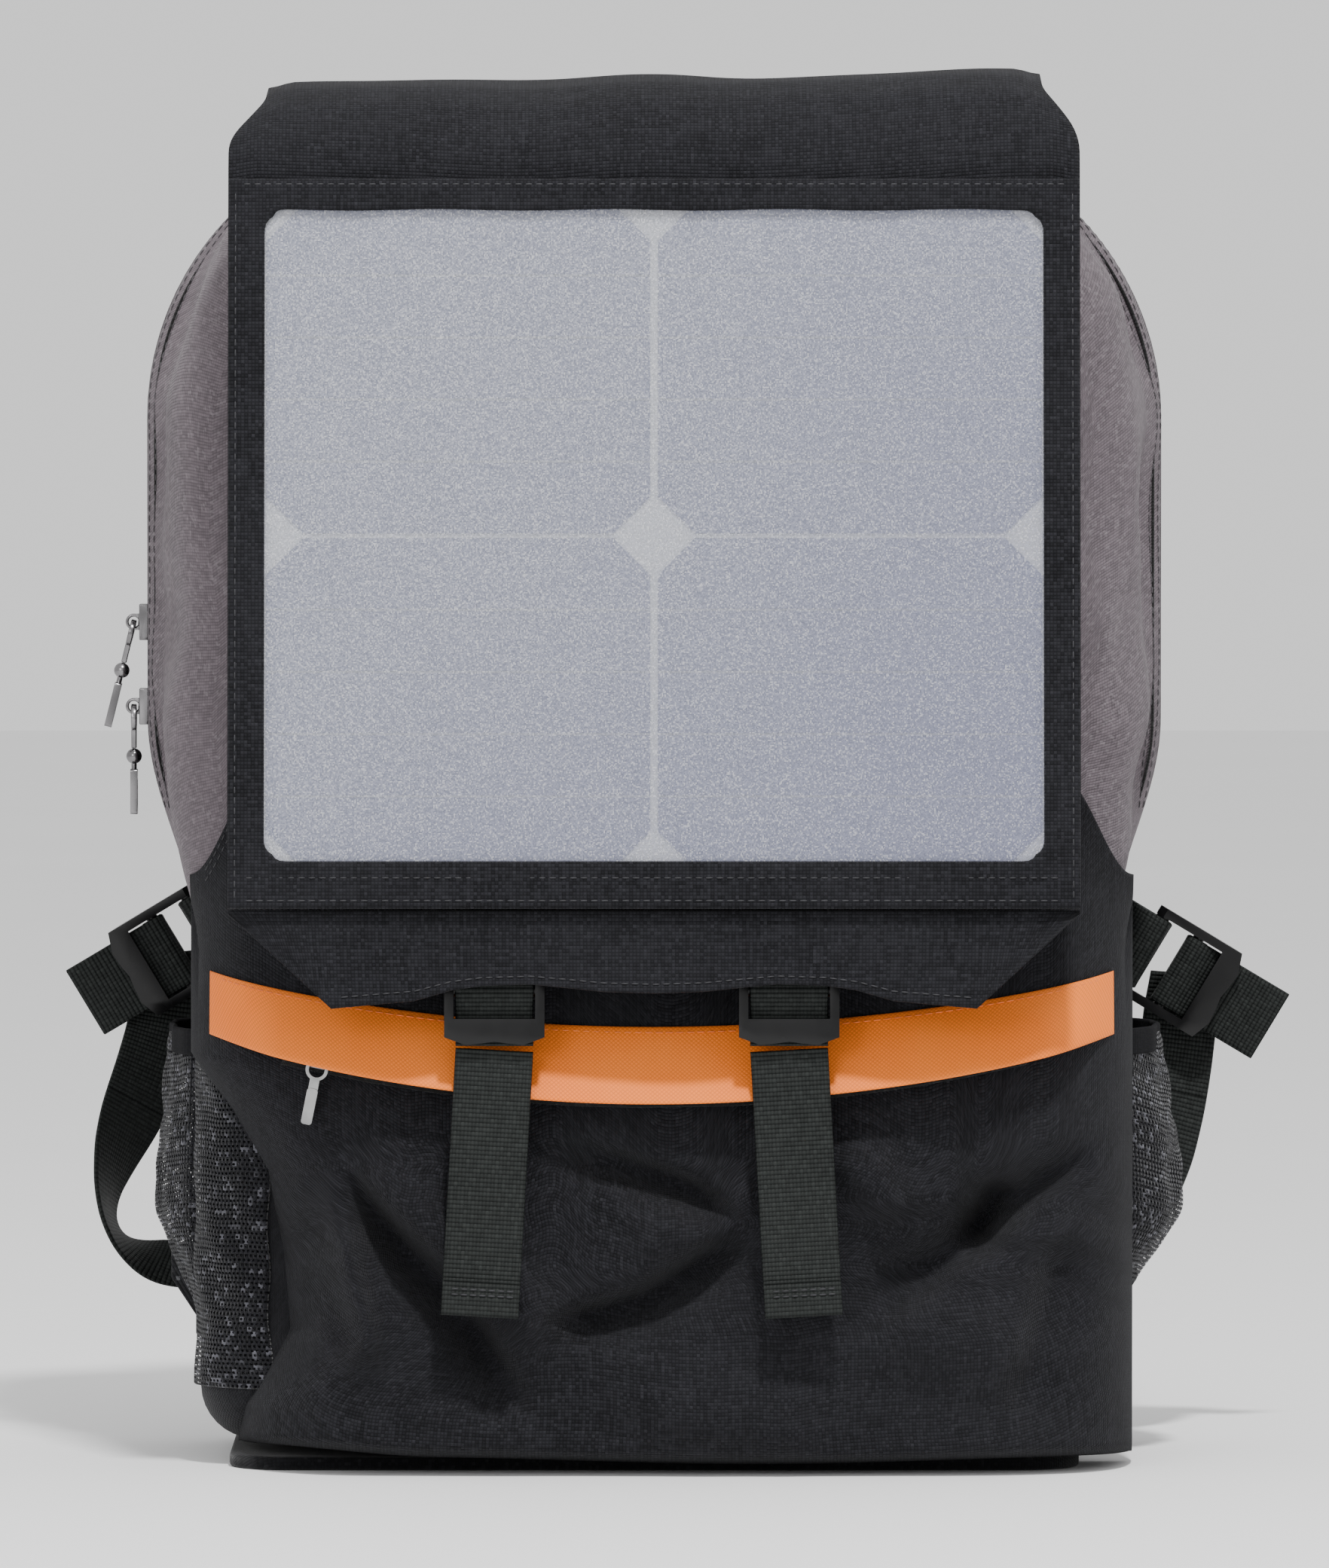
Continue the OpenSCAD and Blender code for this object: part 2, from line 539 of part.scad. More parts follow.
module controller_cover() {
    color([0.04, 0.04, 0.045]) on_case() difference() {
        along_y(case_in + 0.05, case_in + 1.6) rounded_rect(case_w, case_h, 4);
        for (p = posts) along_y(case_in, case_in + 2) translate(p) circle(screw_r + 0.15);
    }
}
module controller_screws() {
    color([0.5, 0.5, 0.52]) on_case() for (p = posts) difference() {
        union() {
            along_y(5, case_in + 1.7) translate(p) circle(screw_r);
            along_y(case_in + 1.65, case_in + 2.9) translate(p) circle(2);
        }
        along_y(case_in + 2.1, case_in + 3) translate(p) square([0.6, 2.4], center = true);
        along_y(case_in + 2.1, case_in + 3) translate(p) square([2.4, 0.6], center = true);
    }
}
module controller_board() {
    color([0.05, 0.3, 0.15]) on_case() {
        along_y(2.1, 3.5) difference() {
            square([case_w - 5, case_h - 5], center = true);
            for (p = posts) translate(p) circle(post_r + 0.9);
        }
        translate([-24, 3.5, 2]) cube([10, 4.5, 10]);
        translate([8, 3.5, 4]) cube([9, 1.6, 9]);
        translate([20, 3.5, -8]) cube([6, 3.2, 5]);
    }
}
module usb_socket() {
    color([0.72, 0.72, 0.74]) on_case() difference() {
        translate([-6.6, usb_y - 2.95, -case_h / 2 + 0.3]) cube([13.2, 5.9, 14]);
        translate([-6.25, usb_y - 2.56, -case_h / 2 - 1]) cube([12.5, 5.12, 14.3]);
    }
    color([0.9, 0.9, 0.9]) on_case() translate([-5.6, usb_y - 1.96, -case_h / 2 + 1.3]) cube([11.2, 1.84, 12.1]);
}

// ---- Buckles and webbing ----
wrap_r = middle_r + 0.4 + web_t / 2;
loop_r = fixed_r + 0.4 + web_t / 2;
module ladder_lock() {
    x1 = rail_in + rail_t * 0.8;
    color([0.03, 0.03, 0.035]) {
        for (s = [-1, 1]) translate([s * (rail_in + x1) / 2, 0, 0]) along_x(x1 - rail_in)
            polygon([[2.6, -11], [2.6, bar_up], [1.2, bar_up + 2.6], [-1.2, bar_up + 2.6], [-3, bar_up], [-3.4, 0],
                [-5.5, -lip_down[0]], [-5.5, -15], [-2.4, -15]]);
        for (b = [[0, middle_r], [bar_up, fixed_r]]) translate([-rail_in - 0.1, 0, b[0]])
            rotate([0, 90, 0]) cylinder(r = b[1], h = 2 * rail_in + 0.2);
        along_y(-5.5, -2.9) polygon([[-x1, -lip_down[0]], [x1, -lip_down[0]], [x1, -15], [9.5, -lip_down[1]],
            [4, -17], [0, -16.4], [-4, -17], [-9.5, -lip_down[1]], [-x1, -15]]);
    }
}
// Webbing round the middle bar, coming up behind it and passing down behind the lip
module bar_wrap(l, k) {
    color([0.04, 0.04, 0.045]) along_x(web_w) polygon(strip(concat([[wrap_r + k, -l], [wrap_r, -5]],
        arc2([0, 0], wrap_r, 0, 180, 10), [[-wrap_r, -2], [-1.7, -8], [-1.7, -lip_down[1] - 0.5]]), web_t));
}
module at_buckle(i) { translate([strap_side[i], buckle_y, buckle_z]) children(); }
module front_buckle_loops() {
    color([0.04, 0.04, 0.045]) for (i = [0, 1]) at_buckle(i) along_x(web_w)
        polygon(strip(concat([[-3.1, bar_up + 15], [-3.9, bar_up + 6]], arc2([0, bar_up], loop_r, 180, 360, 10),
            [[1.6, bar_up + 5], [-0.7, bar_up + 10], [-1.3, bar_up + 15]]), web_t));
}
module front_buckle(i) { at_buckle(i) ladder_lock(); }
module front_strap(i) { at_buckle(i) bar_wrap(buckle_z - anchor_z + 3.2, 0); }
module front_tail(i) {
    color([0.04, 0.04, 0.045]) at_buckle(i) translate([0, -1.7, -lip_down[1] - 1.9])
        rotate([0, i == 0 ? tail_splay : -tail_splay, 0]) {
            along_x(web_w) polygon(strip([[0, 0], [-0.5, -tail_l * 0.5], [-0.2, -tail_l]], web_t));
            translate([-web_w / 2, -2.2, -tail_l]) cube([web_w, 2, 11]);
        }
}

// ---- Shoulder straps ----
// Points of the left strap pad's centre line: [x, distance from the back's face, z, width as a share]
pad_path = [[-70, 8.6, 428, 0.9], [-71, 16.6, 410, 1], [-73, 27.6, 385, 1], [-78, 37.6, 352, 1],
    [-85, 43.6, 318, 0.97], [-97, 43.6, 282, 0.93], [-112, 37.6, 246, 0.88], [-124, 29.6, 214, 0.8],
    [-130, 25.6, 198, 0.66]];
module pad(s) {
    n = len(pad_path) - 1;
    point = function (k) let (p = pad_path[k]) [s * p[0], back_face_y + p[1], p[2]];
    ring_at = function (k) let (way = point(min(k + 1, n)) - point(max(k - 1, 0)),
        a = cross(way, [0, 1, 0]), across = a / norm(a), f = cross(way, across), face = f / norm(f))
        [for (q = [0:15]) let (g = 22.5 * q, c = cos(g), d = sin(g))
            point(k) + across * pad_w / 2 * pad_path[k][3] * sign(c) * pow(abs(c), 0.5)
                + face * pad_t / 2 * (k == 0 || k == n ? 0.7 : 1) * sign(d) * pow(abs(d), 0.75)];
    pts = [for (k = [0:n]) each ring_at(k)];
    faces = concat([[for (j = [0:15]) 15 - j]], [[for (j = [0:15]) n * 16 + j]],
        [for (k = [0:n - 1], j = [0:15]) let (a = k * 16 + j, b = k * 16 + (j + 1) % 16) [a, b, b + 16, a + 16]]);
    color([0.06, 0.06, 0.065]) polyhedron(pts, [for (f = faces) reversed(f)], convexity = 6);
}
module at_lock(i) { translate([lock_at[i][0], lock_y, lock_at[i][1]]) rotate([0, lock_lean[i], 0]) children(); }
module side_lock(i) { at_lock(i) ladder_lock(); }
// Webbing from the pad's end to the lock's fixed bar and round it
pad_web_l = [26, 41];
module pad_webbing(i) {
    l = pad_web_l[i];
    color([0.04, 0.04, 0.045]) at_lock(i) along_x(web_w) polygon(strip(concat([[6.8, bar_up + l], [3.6, bar_up + 5]],
        arc2([0, bar_up], loop_r, 0, -180, 10), [[-3.4, bar_up + 5], [2.6, bar_up + 11], [4.6, bar_up + l - 2]]), web_t));
}
// Webbing round the lock's middle bar with the tail that hangs from it
tail_path = [[[-1.7, -9], [-1.7, -19], [-1, -26], [1, -34]], [[-1.7, -9], [-1.7, -19], [-1, -28], [0, -36]]];
module side_web(i) {
    color([0.04, 0.04, 0.045]) at_lock(i) along_x(web_w) polygon(strip(concat([[wrap_r, -4]],
        arc2([0, 0], wrap_r, 0, 180, 10), [[-wrap_r, -2]], tail_path[i]), web_t));
}
// Webbing from the corner tab up to the lock: [[x, distance from the back's face, z], direction of its width]
lower_path = [
    [[[-165.7, 15.4, 162], [0.52, 0, -0.85]], [[-164, 17.1, 150], [0.75, 0.1, -0.6]],
        [[-166, 16.6, 136], [0.85, 0.2, -0.45]], [[-171, 13.6, 121], [0.85, 0.35, -0.45]],
        [[-177, 9.6, 107], [0.75, 0.55, -0.4]], [[-182, 5.6, 95], [0.55, 0.8, -0.3]],
        [[-185, 1.6, 84], [0.3, 0.95, -0.1]], [[-185, -1.4, 74], [0.1, 1, 0]], [[-181, -3.4, 66], [0, 1, 0.1]],
        [[-174, -4.4, 61.5], [0, 0.9, 0.35], 22], [[-166, -5.9, 59], [0, 0.6, 0.7], 18],
        [[-156, -7.8, 57], [0, 0.15, 1], 14]],
    [[[179.7, 15.4, 155], [0.52, 0, 0.85]], [[178, 17.1, 143], [0.8, 0.1, 0.5]], [[176.5, 15.6, 128], [0.95, 0.2, 0.2]],
        [[174, 10.6, 112], [1, 0.25, 0]], [[170, 4.6, 96], [1, 0.2, -0.2]], [[165.5, -1.4, 82], [1, 0.1, -0.3], 22],
        [[160, -5.9, 70], [0.9, 0, -0.4], 18], [[155, -7.6, 61], [0.8, 0, -0.5], 13]]];
module lower_webbing(i) {
    color([0.04, 0.04, 0.045]) translate([0, back_face_y, 0]) ribbon(lower_path[i], web_w, web_t);
}

module back_pad_left() { back_pad(-1); }
module back_pad_right() { back_pad(1); }
module mesh_pocket_left() { mesh_pocket(-1, 14); }
module mesh_pocket_right() { mesh_pocket(1, 24); }
module corner_tab_left() { corner_tab(-1); }
module corner_tab_right() { corner_tab(1); }
module front_buckle_left() { front_buckle(0); }
module front_buckle_right() { front_buckle(1); }
module front_strap_left() { front_strap(0); }
module front_strap_right() { front_strap(1); }
module front_tail_left() { front_tail(0); }
module front_tail_right() { front_tail(1); }
module shoulder_pad_left() { pad(1); }
module shoulder_pad_right() { pad(-1); }
module pad_webbing_left() { pad_webbing(0); }
module pad_webbing_right() { pad_webbing(1); }
module side_lock_left() { side_lock(0); }
module side_lock_right() { side_lock(1); }
module side_web_left() { side_web(0); }
module side_web_right() { side_web(1); }
module lower_webbing_left() { lower_webbing(0); }
module lower_webbing_right() { lower_webbing(1); }

base_panel();
main_front_shell();
main_rear_shell();
back_panel();
back_stiffener();
laptop_sleeve();
back_pad_left();
back_pad_right();
lumbar_pad();
strap_yoke();
haul_loop();
main_zip_tape();
main_zip_coil();
main_zip_slider_upper();
main_zip_slider_lower();
pull_link_upper();
pull_link_lower();
pull_tab_upper();
pull_tab_lower();
front_pocket();
orange_band();
pocket_zip_tape();
pocket_zip_coil();
pocket_zip_slider();
pocket_zip_pull();
mesh_pocket_left();
mesh_pocket_right();
corner_tab_left();
corner_tab_right();
strap_anchors();
flap_cover();
flap_frame();
flap_stiffener();
flap_tongue();
panel_backsheet();
solar_cells();
cell_ribbons();
panel_film();
controller_case();
controller_cover();
controller_board();
controller_screws();
usb_socket();
front_buckle_loops();
front_buckle_left();
front_buckle_right();
front_strap_left();
front_strap_right();
front_tail_left();
front_tail_right();
shoulder_pad_left();
shoulder_pad_right();
pad_webbing_left();
pad_webbing_right();
side_lock_left();
side_lock_right();
side_web_left();
side_web_right();
lower_webbing_left();
lower_webbing_right();
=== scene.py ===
import json
import math

import bmesh
import bpy
import numpy as np
from bpy.props import FloatProperty, FloatVectorProperty, PointerProperty
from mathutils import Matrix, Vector


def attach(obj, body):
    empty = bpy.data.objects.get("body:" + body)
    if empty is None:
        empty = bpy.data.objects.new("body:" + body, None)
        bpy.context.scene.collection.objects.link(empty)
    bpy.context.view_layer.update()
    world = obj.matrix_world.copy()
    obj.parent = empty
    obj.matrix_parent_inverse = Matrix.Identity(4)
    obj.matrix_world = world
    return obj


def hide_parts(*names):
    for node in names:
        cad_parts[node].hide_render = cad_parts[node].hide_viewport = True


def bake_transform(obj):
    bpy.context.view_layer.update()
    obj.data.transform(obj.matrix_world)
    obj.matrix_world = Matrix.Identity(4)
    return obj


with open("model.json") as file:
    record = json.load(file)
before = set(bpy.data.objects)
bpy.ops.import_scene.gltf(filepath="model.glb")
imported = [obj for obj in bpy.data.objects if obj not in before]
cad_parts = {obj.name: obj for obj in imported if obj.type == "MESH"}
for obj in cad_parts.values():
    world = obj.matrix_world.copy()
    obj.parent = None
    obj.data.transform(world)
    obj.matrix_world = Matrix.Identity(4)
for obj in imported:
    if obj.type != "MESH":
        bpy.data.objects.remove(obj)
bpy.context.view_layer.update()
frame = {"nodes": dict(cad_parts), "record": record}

bl_info = {
    "name": "Solar backpack",
    "version": (1, 0, 0),
    "blender": (4, 5, 0),
    "location": "View3D > Sidebar > Backpack",
    "description": "Fabric, webbing, zips, buckles and solar panel of a daypack",
    "category": "Object",
}

MM = 0.001
BODY_OF = {node: body for body, nodes in frame["record"]["behaviour"]["bodies"].items() for node in nodes}


# ---- Numbers that the pieces share, in millimetres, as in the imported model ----
WAIST_HALF, BELLY_HALF, BODY_TOP, CORNER_R = 150.0, 168.0, 440.0, 95.0
BODY_FOOT, POCKET_FOOT = 7.4, 5.0
ZIP_Y, ZIP_FOOT = 5.0, 208.0
FRONT_Y, REAR_Y, FRONT_EDGE, REAR_EDGE = -55.0, 76.0, 34.0, 20.0
POCKET_HALF, POCKET_TOP, POCKET_RIM, POCKET_FACE = 153.0, 228.0, -22.0, -84.0
SEAM = np.array([-72.0, 424.0])
LEAN = math.radians(6.1)
FLAP_HALF, PANEL_L = 139.0, 239.0
WINDOW = (254.0, 213.0, 10.5)
WEB_W, WEB_T = 25.4, 1.4
STRAP_X = (-52.0, 44.0)
BUCKLE = (-93.0, 160.0)
BAR_UP = 14.0
LOCKS = ((-163.0, 89.0, 163.0, 59.0), (177.0, 89.0, 156.0, -59.0))


# ---- Shapes as arrays ----
def smooth(t):
    """3 t squared less 2 t cubed, with t held between 0 and 1."""
    t = np.clip(t, 0.0, 1.0)
    return t * t * (3 - 2 * t)


def mix(a, b, t):
    """a where t is 0, b where t is 1, in proportion between."""
    return a + (b - a) * t


def unit(v):
    """Vectors over their own lengths."""
    return v / np.maximum(np.linalg.norm(v, axis=-1, keepdims=True), 1e-9)


def lengths_along(points, axis):
    """Running sum of the distances between neighbours along one axis of a grid of points."""
    steps = np.linalg.norm(np.diff(points, axis=axis), axis=-1)
    pad = [(0, 0)] * steps.ndim
    pad[axis] = (1, 0)
    return np.cumsum(np.pad(steps, pad), axis=axis)


def eased_path(points, step=0.8, passes=6):
    """Straight runs cut into equal steps, then each point moved to a quarter, a half and a quarter of
    its neighbours and itself, a few times over, so that the corners turn round."""
    p = np.asarray(points, float)
    s = lengths_along(p[:, :3], 0)
    t = np.linspace(0, s[-1], max(3, int(round(s[-1] / step)) + 1))
    q = np.stack([np.interp(t, s, p[:, k]) for k in range(p.shape[1])], axis=1)
    for _ in range(passes):
        q[1:-1] = 0.25 * q[:-2] + 0.5 * q[1:-1] + 0.25 * q[2:]
    return q


def ripples(a, b, wave, seed, count=9):
    """Sum of sine waves of about one wavelength in seeded directions and phases, from about -1 to 1."""
    rng = np.random.default_rng(seed)
    out = np.zeros(np.broadcast(a, b).shape)
    for turn, phase, stretch in zip(rng.uniform(0, np.pi, count), rng.uniform(0, 2 * np.pi, count),
                                    rng.uniform(0.7, 1.5, count)):
        out = out + np.sin((a * np.cos(turn) + b * np.sin(turn)) * 2 * np.pi / (wave * stretch) + phase)
    return out / math.sqrt(count)


def crease(x, z, line, width, depth, lean=0.0):
    """A bell of the distance to a broken line, fading out at its two ends. lean makes one flank steeper."""
    line = np.asarray(line, float)
    best = np.full(x.shape, 1e9)
    along = np.zeros(x.shape)
    side = np.zeros(x.shape)
    total = lengths_along(line, 0)
    for k in range(len(line) - 1):
        a, b = line[k], line[k + 1]
        d = b - a
        t = np.clip(((x - a[0]) * d[0] + (z - a[1]) * d[1]) / (d @ d), 0, 1)
        gx, gz = x - a[0] - t * d[0], z - a[1] - t * d[1]
        r = np.hypot(gx, gz)
        near = r < best
        best = np.where(near, r, best)
        along = np.where(near, (total[k] + t * np.linalg.norm(d)) / total[-1], along)
        side = np.where(near, np.sign(gx * d[1] - gz * d[0]), side)
    fade = smooth(along / 0.3) * smooth((1 - along) / 0.3)
    w = width * (1 + lean * side)
    return depth * fade * np.exp(-(best / w) ** 2)


def band_quads(m, n, wrap=False, start=0):
    """Quads between neighbouring rows of a grid of m rows and n columns."""
    j = np.arange(n if wrap else n - 1)
    k = np.arange(m - 1)[:, None]
    a, b = start + k * n + j, start + k * n + (j + 1) % n
    return np.stack([a, b, b + n, a + n], axis=-1).reshape(-1, 4)


def sheet_quads(m, n, wrap=False):
    """Quads of a cloth with two faces, front grid then back grid, closed along its open edges."""
    s = m * n
    parts = [band_quads(m, n, wrap), band_quads(m, n, wrap, s)[:, ::-1]]
    j = np.arange(n if wrap else n - 1)
    i = (j + 1) % n
    parts += [np.stack([i, j, j + s, i + s], 1)]
    top = (m - 1) * n
    parts += [np.stack([top + j, top + i, top + i + s, top + j + s], 1)]
    if not wrap:
        k = np.arange(m - 1) * n
        parts += [np.stack([k, k + n, k + n + s, k + s], 1)]
        e = k + n - 1
        parts += [np.stack([e + n, e, e + s, e + n + s], 1)]
    return np.concatenate(parts)


def piece(name, points, quads, finish, body, stands_for=(), caps=(), uv=None, flat=False):
    """Makes one mesh from points in millimetres and its faces, turned outwards by the sign of its volume."""
    co = np.asarray(points, float).reshape(-1, 3) * MM
    quads = np.asarray(quads)
    a, b, c, d = (co[quads[:, k]] for k in range(4))
    volume = np.einsum("ij,ij->", a, np.cross(b, c)) + np.einsum("ij,ij->", a, np.cross(c, d))
    faces = quads.tolist() + [list(c) for c in caps]
    for cap in caps:
        p = co[list(cap)]
        volume += np.einsum("ij,ij->", np.repeat(p[:1], len(p) - 2, 0), np.cross(p[1:-1], p[2:]))
    if volume < 0:
        faces = [f[::-1] for f in faces]
    mesh = bpy.data.meshes.new(name)
    mesh.from_pydata(co.tolist(), [], faces)
    if uv is not None:
        layer = mesh.uv_layers.new(name="UVMap")
        index = np.empty(len(mesh.loops), int)
        mesh.loops.foreach_get("vertex_index", index)
        layer.data.foreach_set("uv", (np.asarray(uv, float).reshape(-1, 2) * MM)[index].astype(np.float32).ravel())
    mesh.polygons.foreach_set("use_smooth", np.full(len(mesh.polygons), not flat))
    mesh.materials.append(finish)
    mesh.update()
    obj = bpy.data.objects.new(name, mesh)
    bpy.context.scene.collection.objects.link(obj)
    if body:
        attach(obj, body)
    if stands_for:
        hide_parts(*stands_for)
    return obj


def cloth(name, front, back, finish, body, stands_for=(), wrap=False):
    """A cloth between two grids of points. Its map holds the lengths along its rows and columns."""
    m, n = front.shape[:2]
    across, along = lengths_along(front, 1), lengths_along(front, 0)
    uv = np.stack([across - across[:, n // 2:n // 2 + 1], along], -1)
    return piece(name, np.stack([front, back]), sheet_quads(m, n, wrap), finish, body, stands_for,
                 uv=np.stack([uv, uv]))


def carry(section, path, across, width=None, closed=False):
    """A closed section of (across, facing) offsets carried along a path. Across is squared up to the
    path's direction, and facing is the cross product of the two. Gives points, quads, caps and map."""
    path, across = np.asarray(path, float), np.asarray(across, float)
    if closed:
        way = unit(np.roll(path, -1, 0) - np.roll(path, 1, 0))
    else:
        way = unit(np.gradient(path, axis=0))
    a = np.broadcast_to(across, path.shape)
    a = unit(a - (a * way).sum(-1, keepdims=True) * way)
    f = np.cross(way, a)
    w = np.ones(len(path)) if width is None else np.asarray(width, float)
    section = np.asarray(section, float)
    pts = (path[:, None] + a[:, None] * (section[:, 0] * w[:, None])[..., None]
           + f[:, None] * section[:, 1][None, :, None])
    n, k = len(path), len(section)
    quads = band_quads(n, k, True)
    caps = [list(range(k))[::-1], [(n - 1) * k + j for j in range(k)]]
    if closed:
        j = np.arange(k)
        i = (j + 1) % k
        quads = np.concatenate([quads, np.stack([(n - 1) * k + j, (n - 1) * k + i, i, j], 1)])
        caps = []
    run = lengths_along(path, 0)
    uv = np.stack(np.broadcast_arrays(section[None, :, 0] * w[:, None], run[:, None]), -1)
    return pts.reshape(-1, 3), quads, caps, uv.reshape(-1, 2)


def tape_section(w, t, edge=0.0):
    """Outline of a woven tape: flat faces, half-round edges, and edge is how much its selvedges swell."""
    x = np.linspace(-w / 2 + t / 2, w / 2 - t / 2, 15)
    swell = t / 2 * (1 + edge * (np.abs(x) > w / 2 - 2.2))
    g = np.radians([60, 0, -60])
    right = np.stack([w / 2 - t / 2 + t / 2 * np.cos(g), t / 2 * np.sin(g)], 1)
    left = np.stack([-w / 2 + t / 2 - t / 2 * np.cos(g[::-1]), t / 2 * np.sin(g[::-1])], 1)
    return np.concatenate([np.stack([x, swell], 1), right, np.stack([x[::-1], -swell], 1), left])


def webbing(name, points, across, body, finish, stands_for=(), w=WEB_W, t=WEB_T, step=0.7, passes=5,
            width=None, slot="webbing"):
    """Webbing along a path: the points are eased, and the tape's section is carried along them."""
    pts = np.asarray(points, float)
    a = np.broadcast_to(np.asarray(across, float), pts.shape)
    w_at = np.full(len(pts), 1.0) if width is None else np.asarray(width, float) / w
    q = eased_path(np.column_stack([pts, a, w_at]), step, passes)
    p, quads, caps, uv = carry(tape_section(w, t, 0.12), q[:, :3], q[:, 3:6], q[:, 6])
    return piece(name, p, quads, finish, body, stands_for, caps, uv)


def placed(local, x, y, z, turn):
    """Buckle coordinates turned about Y by an angle in degrees, then moved to the buckle's place."""
    c, s = math.cos(math.radians(turn)), math.sin(math.radians(turn))
    p = np.asarray(local, float)
    return np.stack([x + c * p[..., 0] + s * p[..., 2], y + p[..., 1], z - s * p[..., 0] + c * p[..., 2]], -1)


def on_panel(local):
    """Flap coordinates leaned by the flap's angle about the seam, so that its foot comes forward."""
    p = np.asarray(local, float)
    c, s = math.cos(LEAN), math.sin(LEAN)
    return np.stack([p[..., 0], SEAM[0] + p[..., 1] * c + p[..., 2] * s, SEAM[1] - p[..., 1] * s + p[..., 2] * c], -1)


def stitch_shape():
    """One thread stitch: six-sided rings on a line, thin at both ends where the thread dives."""
    g = np.radians(np.arange(6) * 60)
    at = np.array([-0.5, -0.36, 0.0, 0.36, 0.5])
    r = np.array([0.3, 0.85, 1.0, 0.85, 0.3])
    rise = np.array([-0.8, 0.1, 0.35, 0.1, -0.8])
    pts = np.stack([np.repeat(at, 6), np.tile(np.cos(g), 5) * np.repeat(r, 6),
                    np.tile(np.sin(g), 5) * np.repeat(r, 6) * 0.8 + np.repeat(rise, 6)], 1)
    quads = np.concatenate([band_quads(5, 6, True), [[3, 2, 1, 0], [5, 4, 3, 0], [24, 25, 26, 27], [24, 27, 28, 29]]])
    return pts, quads


def stitched(name, rows, body, finish, length=2.5, pitch=3.3, width=0.5):
    """Stitches laid end to end along rows of (points, outward direction): one shape copied to each
    place with its length along the row and its rise along the outward direction."""
    shape, quads = stitch_shape()
    mids, ways, outs = [], [], []
    for points, outward in rows:
        p = np.asarray(points, float)
        out = np.broadcast_to(np.asarray(outward, float), p.shape)
        s = lengths_along(p, 0)
        at = np.arange(pitch, s[-1] - pitch / 2, pitch)
        mids.append(np.stack([np.interp(at, s, p[:, k]) for k in range(3)], 1))
        ahead = np.stack([np.interp(at + 0.5, s, p[:, k]) for k in range(3)], 1)
        ways.append(unit(ahead - mids[-1]))
        outs.append(unit(np.stack([np.interp(at, s, out[:, k]) for k in range(3)], 1)))
    mid, way, out = np.concatenate(mids), np.concatenate(ways), np.concatenate(outs)
    side = unit(np.cross(out, way))
    pts = (mid[:, None] + way[:, None] * shape[None, :, :1] * length + side[:, None] * shape[None, :, 1:2] * width / 2
           + out[:, None] * shape[None, :, 2:] * width / 2)
    all_quads = (quads[None] + np.arange(len(mid))[:, None, None] * len(shape)).reshape(-1, 4)
    return piece(name, pts, all_quads, finish, body)


def softened(name, node, finish, width=0.3, segments=2):
    """A copy of a moulded or cast node with its doubles merged and its edges rounded."""
    mesh = frame["nodes"][node].data.copy()
    mesh.name = name
    bm = bmesh.new()
    bm.from_mesh(mesh)
    bmesh.ops.remove_doubles(bm, verts=bm.verts, dist=2e-6)
    bmesh.ops.dissolve_limit(bm, angle_limit=math.radians(2), verts=bm.verts, edges=bm.edges)
    bm.to_mesh(mesh)
    bm.free()
    mesh.materials.clear()
    mesh.materials.append(finish)
    mesh.polygons.foreach_set("material_index", np.zeros(len(mesh.polygons), int))
    mesh.polygons.foreach_set("use_smooth", np.ones(len(mesh.polygons), bool))
    obj = bpy.data.objects.new(name, mesh)
    bpy.context.scene.collection.objects.link(obj)
    bevel = obj.modifiers.new("rounded edges", "BEVEL")
    bevel.width = width * MM
    bevel.segments = segments
    bevel.limit_method = "ANGLE"
    bevel.angle_limit = math.radians(28)
    bevel.harden_normals = True
    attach(obj, BODY_OF[node])
    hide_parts(node)
    return obj


# ---- Finishes ----
class Wiring:
    """Short calls that add nodes to one tree and join them."""

    def __init__(self, tree):
        self.tree = tree

    def node(self, kind, **settings):
        made = self.tree.nodes.new(kind)
        for key, value in settings.items():
            setattr(made, key, value)
        return made

    def join(self, source, target):
        if isinstance(source, bpy.types.NodeSocket):
            self.tree.links.new(source, target)
        else:
            target.default_value = source

    def math(self, operation, a, b=0.0, c=0.0):
        made = self.node("ShaderNodeMath", operation=operation)
        for source, target in zip((a, b, c), made.inputs):
            self.join(source, target)
        return made.outputs[0]

    def colour(self, factor, a, b, blend="MIX"):
        made = self.node("ShaderNodeMix", data_type="RGBA", blend_type=blend)
        self.join(factor, made.inputs[0])
        self.join(a, made.inputs[6])
        self.join(b, made.inputs[7])
        return made.outputs[2]

    def ramp(self, value, low, high, to_low=0.0, to_high=1.0):
        made = self.node("ShaderNodeMapRange", interpolation_type="SMOOTHSTEP")
        for source, target in zip((value, low, high, to_low, to_high), made.inputs):
            self.join(source, target)
        return made.outputs[0]

    def parts(self, vector):
        made = self.node("ShaderNodeSeparateXYZ")
        self.join(vector, made.inputs[0])
        return made.outputs

    def whole(self, x, y=0.0, z=0.0):
        made = self.node("ShaderNodeCombineXYZ")
        for source, target in zip((x, y, z), made.inputs):
            self.join(source, target)
        return made.outputs[0]

    def random(self, x, y=0.0, z=0.0):
        made = self.node("ShaderNodeTexWhiteNoise", noise_dimensions="3D")
        self.join(self.whole(x, y, z), made.inputs["Vector"])
        return made.outputs["Value"]

    def noise(self, vector, scale, detail=2.0):
        made = self.node("ShaderNodeTexNoise")
        self.join(vector, made.inputs["Vector"])
        made.inputs["Scale"].default_value = scale
        made.inputs["Detail"].default_value = detail
        return made.outputs[0]


